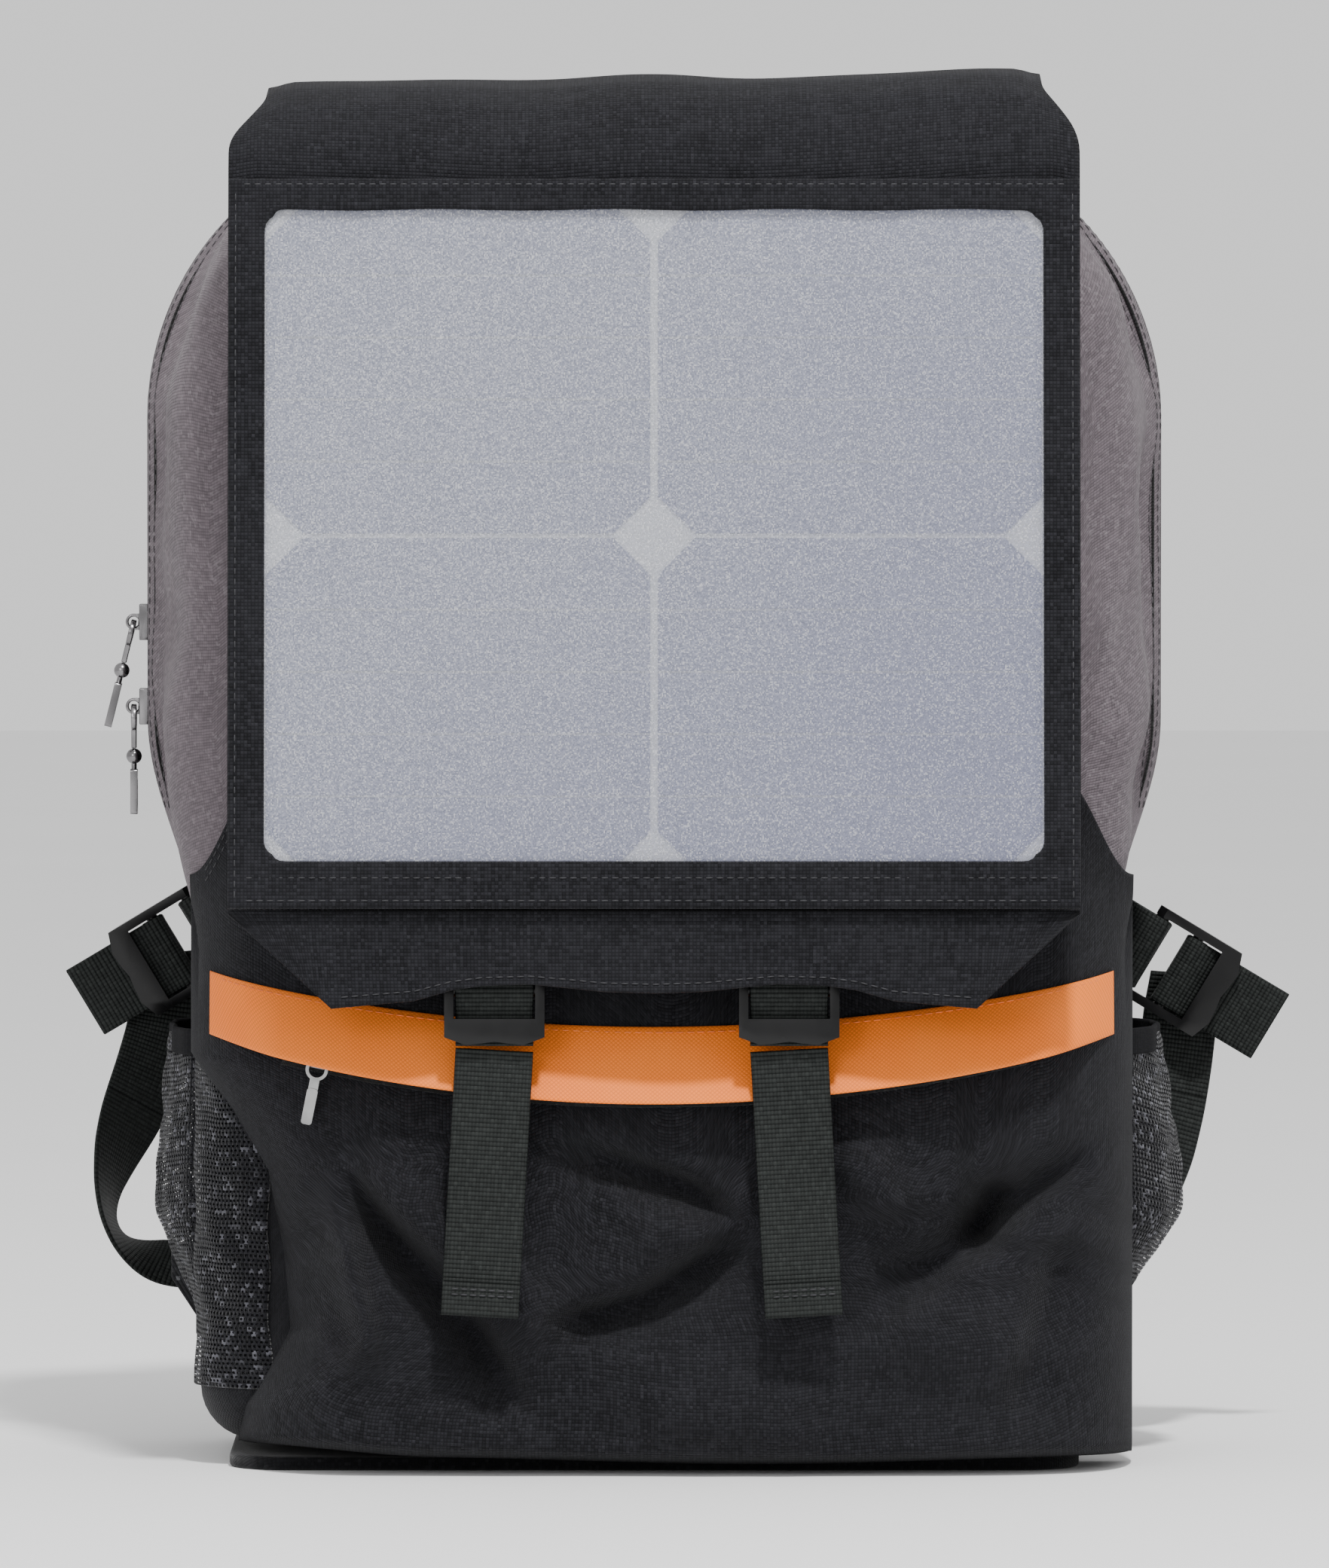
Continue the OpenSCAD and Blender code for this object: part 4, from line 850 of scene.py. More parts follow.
def pocket_y(x, z):
    """Depth of the unfolded pocket face at x and z."""
    u, v = x / POCKET_HALF, (z - POCKET_FOOT) / (pocket_top_z(x) - POCKET_FOOT)
    return pocket_surface(u, v, 0.0, False)[..., 1]


def band_surface(x, v, t):
    """The orange band: its middle rises to its ends, and its lower edge stands off over the zip."""
    h = 24.4 * (1 - 0.16 * (np.abs(x) / 145) ** 2)
    z = 135 + 18.5 * (np.abs(x) / 145) ** 2 + h * (v - 0.5)
    ease = 1 - smooth((np.abs(x) - 122) / 23)
    y = pocket_y(x, z) - 0.6 - 10.8 * (1 - v) * ease - t
    return np.stack([spread_right(x), y, z], -1)


# ---- Operators ----
class BackpackTones(bpy.types.PropertyGroup):
    """Colours and thread sizes of the bag."""
    charcoal: FloatVectorProperty(name="Charcoal cloth", description="Colour of the flap and the front pocket",
                                  subtype="COLOR", default=(0.0105, 0.0105, 0.0125), min=0, max=1)
    shell: FloatVectorProperty(name="Shell cloth", description="Colour of the grey body",
                               subtype="COLOR", default=(0.105, 0.088, 0.098), min=0, max=1)
    band: FloatVectorProperty(name="Band", description="Colour of the coated band on the pocket",
                              subtype="COLOR", default=(1.0, 0.215, 0.018), min=0, max=1)
    webbing: FloatVectorProperty(name="Webbing", description="Colour of the straps",
                                 subtype="COLOR", default=(0.013, 0.0145, 0.0138), min=0, max=1)
    cell: FloatVectorProperty(name="Cells", description="Colour of the silicon under the film",
                              subtype="COLOR", default=(0.10, 0.108, 0.165), min=0, max=1)
    thread: FloatProperty(name="Thread pitch", description="Distance between threads of the charcoal cloth",
                          default=0.00115, min=0.0003, max=0.003, unit="LENGTH")


class BackpackSizes(bpy.types.PropertyGroup):
    """Sizes of the sewing."""
    stitch: FloatProperty(name="Stitch", description="Length of one stitch", default=0.0025, min=0.001,
                          max=0.006, unit="LENGTH")
    coil: FloatProperty(name="Coil pitch", description="Distance between the zip's teeth", default=0.0016,
                        min=0.001, max=0.004, unit="LENGTH")
    puff: FloatProperty(name="Channel depth", description="How deep the sewn channels of the pads are",
                        default=0.0028, min=0.0, max=0.006, unit="LENGTH")


class BACKPACK_OT_body(bpy.types.Operator):
    """Makes the grey front and rear shells, their stitching, the base and the inner sleeve"""
    bl_idname = "backpack.body"
    bl_label = "Body"

    def execute(self, context):
        closed_shell("front_shell_cloth", front_rows(0.0), front_rows(2.0), FINISH["shell"], "bag",
                     ["main_front_shell"])
        closed_shell("rear_shell_cloth", rear_rows(0.0), rear_rows(2.0), FINISH["shell"], "bag",
                     ["main_rear_shell"])
        rows = []
        for level, shell in ((k, shell) for shell in (front_rows(-0.15), rear_rows(-0.15)) for k in (1, 2)):
            ring = shell[level]
            ring = np.roll(ring, -int(np.argmin(np.abs(ring[:, 0]) + ring[:, 2])), 0)
            ring = ring[ring[:, 2] > ZIP_FOOT + 4]
            rows.append((ring, unit(ring - [0, 5, 235]) * [1, 0.2, 1]))
        stitched("shell_stitches", rows, "bag", FINISH["pale thread"],
                 context.scene.backpack_sizes.stitch / MM, 3.4, 0.6)
        softened("base_cloth", "base_panel", FINISH["oxford flat"], 1.2, 3)
        softened("sleeve_cloth", "laptop_sleeve", FINISH["lining flat"], 0.9, 3)
        return {"FINISHED"}


class BACKPACK_OT_main_zip(bpy.types.Operator):
    """Makes the main zip's tape and teeth, and rounds its sliders and pulls"""
    bl_idname = "backpack.main_zip"
    bl_label = "Main zip"

    def execute(self, context):
        line = arch(2.9, ZIP_FOOT - 16)
        path = np.stack([line[:, 0], np.full(len(line), ZIP_Y), line[:, 1]], 1)
        path = eased_path(path, 2.0, 2)
        p, quads, caps, uv = carry(tape_section(23.6, 0.9), path, [0, 1, 0])
        piece("main_zip_cloth", p, quads, FINISH["tape"], "bag", ["main_zip_tape"], caps, uv)
        self.teeth("main_zip_teeth", arch(1.35), context.scene.backpack_sizes.coil / MM)
        for where in ("upper", "lower"):
            softened("main_slider_%s_cast" % where, "main_zip_slider_" + where, FINISH["gunmetal"],
                     0.35, 3)
            softened("main_link_%s_cast" % where, "pull_link_" + where, FINISH["gunmetal"], 0.35, 3)
            softened("main_tab_%s_cast" % where, "pull_tab_" + where, FINISH["gunmetal"], 0.35, 3)
        return {"FINISHED"}

    def teeth(self, name, line, pitch):
        """Teeth of the coil: one rounded bar across the tape at each pitch, all copies of one bar."""
        path = np.stack([line[:, 0], np.full(len(line), ZIP_Y), line[:, 1]], 1)
        s = lengths_along(path, 0)
        at = np.arange(1, s[-1] - 1, pitch)
        mid = np.stack([np.interp(at, s, path[:, k]) for k in range(3)], 1)
        way = unit(np.gradient(mid, axis=0))
        across = np.broadcast_to([0.0, 1.0, 0.0], mid.shape)
        out = unit(np.cross(across, way))
        shape, quads = stitch_shape()
        pts = (mid[:, None] + across[:, None] * shape[None, :, :1] * 5.0
               + way[:, None] * shape[None, :, 1:2] * pitch * 0.42 + out[:, None] * (shape[None, :, 2:] - 0.2) * 0.7)
        faces = (quads[None] + np.arange(len(mid))[:, None, None] * len(shape)).reshape(-1, 4)
        piece(name, pts, faces, FINISH["coil"], "bag", ["main_zip_coil"])


class BACKPACK_OT_pocket(bpy.types.Operator):
    """Makes the folded front pocket, its hem stitches and the orange band"""
    bl_idname = "backpack.pocket"
    bl_label = "Front pocket"

    def execute(self, context):
        u = np.sin(np.linspace(-np.pi / 2, np.pi / 2, 200))
        v = np.concatenate([np.linspace(0, 0.16, 34)[:-1], np.linspace(0.16, 1, 104)])
        uu, vv = np.meshgrid(u, v)
        cloth("pocket_cloth", pocket_surface(uu, vv, 0.0), pocket_surface(uu, vv, 1.8), FINISH["oxford"], "bag",
              ["front_pocket"])
        x = np.linspace(-1, 1, 200)
        rows = [(pocket_surface(x * 0.97, np.full(200, 1 - k), -0.15, False), [0, -1, 0.2]) for k in (0.012, 0.03)]
        stitched("pocket_hem_stitches", rows, "bag", FINISH["thread"],
                 context.scene.backpack_sizes.stitch / MM)

        s = np.sin(np.linspace(-np.pi / 2, np.pi / 2, 220)) * 146
        v = np.array([0, 0.02, 0.06, 0.12, 0.22, 0.35, 0.5, 0.65, 0.78, 0.88, 0.94, 0.98, 1.0])
        ss, vv = np.meshgrid(s, v)
        puff = 0.5 * np.clip(np.minimum(vv, 1 - vv) / 0.06, 0, 1) ** 0.5
        soft = 0.35 * ripples(ss, vv * 20, 55, 12)
        cloth("orange_band_cloth", band_surface(ss, vv, 0.9 + puff + soft * 0.6), band_surface(ss, vv, 0.05 + soft * 0.3),
              FINISH["orange"], "bag", ["orange_band"])
        row = np.linspace(-143, 143, 200)
        stitched("band_stitches", [(band_surface(row, np.full(200, 0.93), 1.5), [0, -1, 0])], "bag",
                 FINISH["orange thread"], 2.6, 3.4, 0.42)
        return {"FINISHED"}


class BACKPACK_OT_pocket_zip(bpy.types.Operator):
    """Makes the pocket zip under the band, and rounds its slider and pull"""
    bl_idname = "backpack.pocket_zip"
    bl_label = "Pocket zip"

    def execute(self, context):
        for name, node, finish, slot in (("pocket_zip_cloth", "pocket_zip_tape", "tape flat", "zip_tape"),
                                         ("pocket_zip_teeth", "pocket_zip_coil", "coil rows", "zip_coil")):
            softened(name, node, FINISH[finish], 0.2, 2)
        softened("pocket_slider_cast", "pocket_zip_slider", FINISH["gunmetal"], 0.2, 2)
        softened("pocket_pull_cast", "pocket_zip_pull", FINISH["bright steel"], 0.25, 3)
        return {"FINISHED"}


class BACKPACK_OT_sides(bpy.types.Operator):
    """Makes the mesh side pockets with their elastic bindings, and the corner tabs"""
    bl_idname = "backpack.sides"
    bl_label = "Side pockets"

    def surface(self, s, bulge, u, v, t):
        """A side pocket: it stands off the body by the bulge times a sine of u, easing in at its foot."""
        z = mix(42.0, 142.0, v)
        out = bulge * smooth(v / 0.42) * (1 - 0.3 * smooth((v - 0.5) / 0.5)) * np.sin(np.pi * u) ** 0.6
        wrinkle = (1.1 * ripples(u * 70, v * 90, 26, 21) + 0.5 * ripples(u * 70, v * 90, 12, 22)) * np.sin(np.pi * u)
        y = mix(-17.0, 56.0, u)
        return np.stack([s * (side_x(z) + 0.4 + t + out + np.minimum(wrinkle, out * 0.25)), y, z], -1)

    def execute(self, context):
        u, v = np.meshgrid(np.linspace(0, 1, 60), np.linspace(0, 1, 60))
        for s, side, bulge in ((-1, "left", 14.0), (1, "right", 24.0)):
            cloth("mesh_net_" + side, self.surface(s, bulge, u, v, 1.0), self.surface(s, bulge, u, v, 0.5),
                  FINISH["mesh"], "bag", ["mesh_pocket_" + side])
            top = self.surface(s, bulge, np.linspace(0, 1, 80), np.full(80, 1.0), 0.8)
            p, quads, caps, uv = carry(tape_section(9.0, 1.7), top - [0, 0, 3.6], [0, 0, 1])
            piece("mesh_hem_" + side, p, quads, FINISH["binding"], "bag", caps=caps, uv=uv)
            low = self.surface(s, bulge, np.linspace(0, 1, 60), np.full(60, 0.02), 0.6)
            p, quads, caps, uv = carry(tape_section(7.0, 1.4), low + [0, 0, 1], [0, 0, 1])
            piece("mesh_foot_" + side, p, quads, FINISH["binding"], "bag", caps=caps, uv=uv)
            turn, z = np.meshgrid(np.radians(np.linspace(0, 74, 40)), np.linspace(26, 146, 60))
            wrap = lambda t: np.stack([s * (side_x(z) + t - FRONT_EDGE * (1 - np.cos(turn))),
                                       -17 - 4 * np.minimum(1, turn * 4) - (FRONT_EDGE - 4 + t) * np.sin(turn), z], -1)
            folds = 0.6 * ripples(turn * 30, z, 24, 23)
            cloth("mesh_front_" + side, wrap(1.9 + folds), wrap(1.0 + folds), FINISH["mesh"], "bag")
            softened("corner_tab_cloth_" + side, "corner_tab_" + side, FINISH["herringbone flat"], 0.5, 3)
        return {"FINISHED"}


class BACKPACK_OT_flap(bpy.types.Operator):
    """Makes the flap's cloth: cover, border round the panel's window, tongue and stitch rows"""
    bl_idname = "backpack.flap"
    bl_label = "Flap"

    def cover(self, across, offset):
        """The cover runs from its hinge over the top of the bag and down behind the panel. Over the top
        it narrows towards the bag's back and rises a little to one side."""
        down = np.array([-math.sin(LEAN), -math.cos(LEAN)])
        roof = np.array([[50, 441.6], [45, 446], [35, 451], [18, 455.5], [0, 458.3], [-24, 458.3], [-45, 456],
                         [-57, 450.6], [-66, 441], [-71, 430], SEAM, SEAM + down * (PANEL_L - 0.4)], float)
        q = eased_path(np.column_stack([roof[:, 0], roof[:, 1], np.zeros(len(roof))]), 2.2, 4)[:, :2]
        way = unit(np.gradient(q, axis=0))
        out = np.stack([way[:, 1], -way[:, 0]], 1)
        over = smooth((q[:, 1] - 428) / 24)[:, None]
        y, z = q[:, :1] + 0 * across, q[:, 1:] + 0 * across
        tip = over * (2.4 * across - 1.2)
        edge = over * smooth((np.abs(across) - 0.93) / 0.07)
        sag = over * 0.9 * ripples(across * 130, y, 80, 31)
        half = FLAP_HALF - 12.0 * smooth((z - 433) / 24) * smooth((y + 75) / 40 + 0.3)
        x = half * across
        z = z + tip + sag - edge * 1.5 + out[:, 1:] * offset
        y = y + out[:, :1] * offset
        return np.stack([x, y, z], -1)

    def border_loops(self, n=640):
        """Matched points of the window's rounded rectangle and the flap's outer edge, going round."""
        w, h, top = WINDOW
        mid = -top - h / 2
        g = np.linspace(0, 2 * np.pi, n, endpoint=False)
        c, s = np.cos(g), np.sin(g)
        k = np.maximum(np.abs(c), np.abs(s))
        box = np.stack([c / k, s / k], 1)
        inner = np.array([box[:, 0] * w / 2, mid + box[:, 1] * h / 2]).T
        near = np.minimum(w / 2 - np.abs(inner[:, 0]), h / 2 - np.abs(inner[:, 1] - mid))
        far = np.maximum(w / 2 - np.abs(inner[:, 0]), h / 2 - np.abs(inner[:, 1] - mid))
        pull = np.maximum(0, 7 - far) ** 2 / 14 * (near < 0.01)
        corner = unit(np.array([0, mid]) - inner)
        inner = inner + corner * pull[:, None]
        outer = np.array([box[:, 0] * (FLAP_HALF - 0.3), np.where(box[:, 1] > 0, box[:, 1] * (-mid - 0.3) + mid,
                                                                  mid + box[:, 1] * (PANEL_L + mid - 0.3))]).T
        return inner, outer

    def execute(self, context):
        across = np.linspace(-1, 1, 90)[None, :]
        cloth("flap_cover_cloth", self.cover(across, 0.55), self.cover(across, -0.45), FINISH["oxford"], "flap",
              ["flap_cover"])
        inner, outer = self.border_loops()
        section = np.array([(0.10, -5.62), (0.01, -5.8), (-0.01, -6.4), (0.03, -7.05), (0.1, -7.35), (0.22, -7.2),
                            (0.4, -7.05), (0.6, -7.1), (0.78, -7.3), (0.92, -7.15), (0.985, -6.6), (1.0, -5.8),
                            (1.0, -3.5), (1.0, -1.7), (0.975, -1.45), (0.93, -1.6), (0.93, -3.6), (0.91, -5.5),
                            (0.5, -5.6)])
        r, y = section[:, 0], section[:, 1]
        plan = inner[:, None] + (outer - inner)[:, None] * r[None, :, None]
        wave = 0.35 * ripples(plan[..., 0], plan[..., 1], 48, 41) * np.clip(1 - np.abs(r - 0.4) / 0.5, 0, 1)
        pucker = 0.5 * np.sin(plan[..., 0] / 9.0) * (plan[..., 1] > -WINDOW[2] - 2) * (np.abs(r - 0.05) < 0.12)
        pts = on_panel(np.stack([plan[..., 0], y[None] - np.abs(wave) - np.abs(pucker) * 0.6,
                                 plan[..., 1] - pucker * 0.5], -1))
        n, k = pts.shape[:2]
        j, i = np.arange(k), (np.arange(k) + 1) % k
        quads = np.concatenate([band_quads(n, k, True), np.stack([(n - 1) * k + j, (n - 1) * k + i, i, j], 1)])
        piece("flap_border_cloth", pts, quads, FINISH["oxford"], "flap", ["flap_frame"],
              uv=np.stack([plan[..., 0] + 0 * y, plan[..., 1] + 0 * y], -1))

        edge_x = np.array([0, 16, 30, 40, 56, 66, 78, 105, 138.5])
        edge_z = np.array([27, 26.5, 25, 24, 24.5, 26, 29.5, 32, 1.2])
        x = np.unique(np.concatenate([np.linspace(-138.5, 138.5, 150), edge_x, -edge_x]))
        v = np.concatenate([np.linspace(0, 0.85, 14), [0.9, 0.94, 0.97, 1.0]])
        xx, vv = np.meshgrid(x, v)
        drop = np.interp(np.abs(xx), edge_x, edge_z)
        curl = (1.0 * np.sin(xx / 17.0 + 0.8) + 1.4 * smooth((xx - 20) / 60)) * vv ** 1.6
        hem = 0.45 * np.exp(-((vv - 0.97) / 0.05) ** 2)
        bow = lambda y, t: on_panel(np.stack([xx, y - curl - hem * t, -PANEL_L - 0.2 - vv * drop], -1))
        cloth("flap_tongue_cloth", bow(-3.1, 1), bow(-1.4, -0.3), FINISH["oxford"], "flap",
              ["flap_tongue"])

        def flat_row(x0, z0, x1, z1, y=-7.25):
            t = np.linspace(0, 1, 60)
            return on_panel(np.stack([mix(x0, x1, t), np.full(60, y), mix(z0, z1, t)], 1)), [0, -1, 0.1]

        e = FLAP_HALF
        rows = [flat_row(-e + 3, -2.2, e - 3, -2.2), flat_row(-e + 2.6, -3, -e + 2.6, -236),
                flat_row(e - 2.6, -3, e - 2.6, -236), flat_row(-e + 4, -228.8, e - 4, -228.8),
                flat_row(-e + 4, -236.2, e - 4, -236.2)]
        hem_x = np.linspace(-104, 104, 200)
        hem_z = -PANEL_L - np.interp(np.abs(hem_x), edge_x, edge_z) * 0.9
        curl = (1.0 * np.sin(hem_x / 17.0 + 0.8) + 1.4 * smooth((hem_x - 20) / 60)) * 0.9 ** 1.6
        rows.append((on_panel(np.stack([hem_x, -3.35 - curl, hem_z], 1)), [0, -1, 0.1]))
        stitched("flap_stitches", rows, "flap", FINISH["thread"],
                 context.scene.backpack_sizes.stitch / MM, 3.4, 0.5)
        return {"FINISHED"}


class BACKPACK_OT_panel(bpy.types.Operator):
    """Gives the solar panel's layers, the stiffeners and the charge controller their finishes"""
    bl_idname = "backpack.panel"
    bl_label = "Solar panel"

    def execute(self, context):
        plain = {"solar_cells": "silicon", "panel_backsheet": "laminate", "panel_film": "film",
                 "cell_ribbons": "tinned", "flap_stiffener": "board", "back_stiffener": "board",
                 "controller_board": "green board"}
        for node, finish in plain.items():
            slots = frame["nodes"][node].material_slots
            for place in slots:
                place.material = FINISH[finish]
        for node, finish, width in (("controller_case", "case", 0.6), ("controller_cover", "case", 0.5),
                                    ("controller_screws", "steel", 0.15), ("usb_socket", "steel", 0.15)):
            softened(node + "_rounded", node, FINISH[finish], width, 3)
        return {"FINISHED"}


def arc(cy, cz, r, a0, a1, n=12):
    """Points of an arc in depth and height."""
    g = np.radians(np.linspace(a0, a1, n))
    return [(cy + r * math.cos(k), cz + r * math.sin(k)) for k in g]


def upright(profile, x0=0.0):
    """A path in depth and height as points with one x."""
    return np.array([[x0, y, z] for y, z in profile])


class BACKPACK_OT_front_straps(bpy.types.Operator):
    """Makes the two front straps: loops on the flap, webbing round the buckles, hanging tails"""
    bl_idname = "backpack.front_straps"
    bl_label = "Front straps"

    def execute(self, context):
        wrap, loop = 2.0 + 0.4 + WEB_T / 2, 2.4 + 0.4 + WEB_T / 2
        for i, side in enumerate(("left", "right")):
            x, tag = STRAP_X[i], "_" + side
            here = lambda pts, turn=0.0: placed(pts, x, BUCKLE[0], BUCKLE[1], turn)
            softened("front_buckle_moulded" + tag, "front_buckle" + tag, FINISH["buckle"], 0.7, 3)
            path = [(-3.1, BAR_UP + 15), (-3.9, BAR_UP + 6)] + arc(0, BAR_UP, loop, 180, 360) + \
                [(1.6, BAR_UP + 5), (-0.7, BAR_UP + 10), (-1.3, BAR_UP + 15)]
            webbing("front_loop" + tag, here(upright(path)), [1, 0, 0], "flap", FINISH["webbing"],
                    ["front_buckle_loops"] if i == 0 else (), passes=2)
            path = [(wrap, -11), (wrap, -5)] + arc(0, 0, wrap, 0, 180) + [(-wrap, -2), (-1.7, -8), (-1.7, -18)]
            webbing("front_strap_woven" + tag, here(upright(path)), [1, 0, 0], "buckle" + tag, FINISH["webbing"],
                    ["front_strap" + tag], passes=2)
            turn = math.radians(3.2 if i == 0 else -3.2)
            c, s = math.cos(turn), math.sin(turn)
            top = np.array([0.0, -1.7, -19.3])
            lean = lambda p: here(top + np.stack([c * p[..., 0] + s * p[..., 2], p[..., 1],
                                                  -s * p[..., 0] + c * p[..., 2]], -1))
            z = np.linspace(0, -87, 30)
            body = np.stack([np.zeros(30), -0.5 * np.sin(np.pi * np.clip(-z / 87, 0, 1)) - 0.1, z], 1)
            across = np.array([c, 0, -s])
            webbing("front_tail_woven" + tag, lean(body), across, "tail" + tag, FINISH["webbing"],
                    ["front_tail" + tag], passes=0)
            z = np.linspace(-76.2, -87.2, 10)
            fold = np.stack([np.zeros(10), np.full(10, -1.65) + 0.25 * smooth((-z - 83) / 4), z], 1)
            webbing("front_tail_hem" + tag, lean(fold), across, "tail" + tag, FINISH["webbing"], t=1.2, passes=0)
            rows = [(lean(np.stack([np.linspace(-11.5, 11.5, 30), np.full(30, -2.35), np.full(30, k)], 1)), [0, -1, 0])
                    for k in (-78.4, -80.2)]
            stitched("front_tail_stitches" + tag, rows, "tail" + tag, FINISH["thread"], 2.4, 3.0, 0.55)
            anchor = np.array([[x, -77.2, 153], [x, -80.5, 152.2], [x, -87.4, 152.2]])
            webbing("strap_anchor_woven" + tag, anchor, [1, 0, 0], "bag", FINISH["webbing"],
                    ["strap_anchors"] if i == 0 else (), t=2.0, passes=1)
        return {"FINISHED"}


PAD_PATH = np.array([[-70, 88, 428, 0.9], [-71, 96, 410, 1], [-73, 107, 385, 1], [-78, 117, 352, 1],
                     [-85, 123, 318, 0.97], [-97, 123, 282, 0.93], [-112, 117, 246, 0.88], [-124, 109, 214, 0.8],
                     [-130, 105, 198, 0.66]], float)


class BACKPACK_OT_back(bpy.types.Operator):
    """Makes the back: panel cloth, padded channels, strap yoke and grab loop"""
    bl_idname = "backpack.back"
    bl_label = "Back"

    def pad(self, name, cx, cz, half_w, half_h, height, channels, node, puff):
        """A crowned pad: a square grid whose rings r = max(|u|, |w|) are bent to superellipses, its height
        falling as a high power of r, with sewn channels as bells taken from it, and a flat underside."""
        line = np.concatenate([np.linspace(0, 0.9, 28), 1 - 0.1 * (1 - np.linspace(0, 1, 11)[1:]) ** 2])
        line = np.concatenate([-line[:0:-1], line])
        u, w = np.meshgrid(line, line)
        r = np.maximum(np.maximum(np.abs(u), np.abs(w)), 1e-6)
        k = np.maximum(np.abs(u / r) ** 6 + np.abs(w / r) ** 6, 1.0) ** (-1 / 6)
        x, z = half_w * u * k, half_h * w * k
        crown = np.maximum(0, 1 - r ** 5) ** 0.5
        y = 0.4 + (height - 0.4) * crown * (1 - 0.12 * (x / half_w) ** 2)
        for axis, at in channels:
            y = y - puff * np.exp(-(((x if axis == "x" else z) - at) / 3.2) ** 2) * crown
        y = y + 0.25 * ripples(x, z, 30, 51) * crown
        y = np.clip(y, 0.3, height)
        top = np.stack([cx + x, 79.8 + y, cz + z], -1)
        low = np.stack([cx + x, np.full(x.shape, 79.85), cz + z], -1)
        obj = cloth(name, low, top, FINISH["air mesh"], "bag", [node])
        g = np.linspace(0, 2 * np.pi, 120, endpoint=False)
        c, s = np.cos(g), np.sin(g)
        k = (np.abs(c) ** 6 + np.abs(s) ** 6) ** (-1 / 6)
        edge = np.stack([cx + half_w * c * k, np.full(120, 80.9), cz + half_h * s * k], 1)
        p, quads, _, uv = carry(tape_section(2.0, 1.8), edge, [0, 1, 0], closed=True)
        piece(name + "_piping", p, quads, FINISH["binding"], "bag", uv=uv)

    def execute(self, context):
        puff = context.scene.backpack_sizes.puff / MM
        half = half_outline(REAR_EDGE - 6, BODY_FOOT, 18.0)
        z = np.unique(np.concatenate([half[:, 1], np.linspace(half[:, 1].min(), half[:, 1].max(), 90)]))
        z = z[np.concatenate([[True], np.diff(z) > 0.02])]
        u, z = np.meshgrid(np.linspace(-1, 1, 90), z)
        x = u * np.interp(z, half[:, 1], half[:, 0])
        rim = 0.3 * smooth((np.abs(u) - 0.985) / 0.015)
        cloth("back_panel_cloth", np.stack([x, np.full(x.shape, 76.5) + rim, z], -1),
                     np.stack([x, 79.25 + 0.12 * ripples(x, z, 40, 61) - rim, z], -1), FINISH["lining"], "bag",
                     ["back_panel"])
        for s, side in ((-1, "left"), (1, "right")):
            self.pad("back_pad_foam_" + side, s * 68, 245, 43, 138, 10.0,
                     [("z", k) for k in (-92, -46, 0, 46, 92)], "back_pad_" + side, puff)
        self.pad("lumbar_pad_foam", 0, 66, 107, 33, 10.0, [("x", k) for k in (-54, 0, 54)], "lumbar_pad", puff)
        self.yoke_and_loop()
        return {"FINISHED"}

    def yoke_and_loop(self):
        x, z = np.meshgrid(np.linspace(-98, 98, 120), np.linspace(402, 432, 24))
        rim = np.minimum(98 - np.abs(x), 15 - np.abs(z - 417))
        front = np.stack([x, 79.8 + 0 * x, z], -1)
        back = np.stack([x, 80.2 + 2.1 * np.clip(rim / 1.4, 0, 1) ** 0.5 + 0.1 * ripples(x, z, 25, 71), z], -1)
        cloth("strap_yoke_cloth", front, back, FINISH["binding"], "bag", ["strap_yoke"])
        t = np.linspace(-95, 95, 80)
        rows = [(np.stack([t, np.full(80, 82.5), np.full(80, k)], 1), [0, 1, 0]) for k in (404.5, 429.5)]
        for cx in (-70, 70, -36, 36):
            box = np.array([[-8, -9], [8, -9], [8, 9], [-8, 9], [-8, -9], [8, 9]], float)
            path = eased_path(np.column_stack([cx + box[:, 0], np.full(6, 82.5), 417 + box[:, 1]]), 1.0, 0)
            rows.append((path, [0, 1, 0]))
        stitched("yoke_stitches", rows, "bag", FINISH["pale thread"], 2.4, 3.1, 0.5)
        g = np.radians(np.linspace(0, 180, 60))
        c, s = np.cos(g), np.maximum(np.sin(g), 0)
        path = np.stack([36 * np.sign(c) * np.abs(c) ** 0.5, 92 + 4 * s ** 0.8, 424 + 31 * s ** 0.7], 1)
        webbing("haul_loop_woven", path, [0, 1, 0], "haul_loop", FINISH["webbing"], ["haul_loop"], w=16, t=1.9,
                passes=3)
        q = eased_path(path, 0.8, 4)
        q = q[(np.abs(q[:, 0]) < 27)]
        p, quads, caps, uv = carry(tape_section(5.0, 0.7), q + [0, 0, 1.1], [0, 1, 0])
        piece("haul_loop_trim", p, quads, FINISH["orange"], "haul_loop", caps=caps, uv=uv)


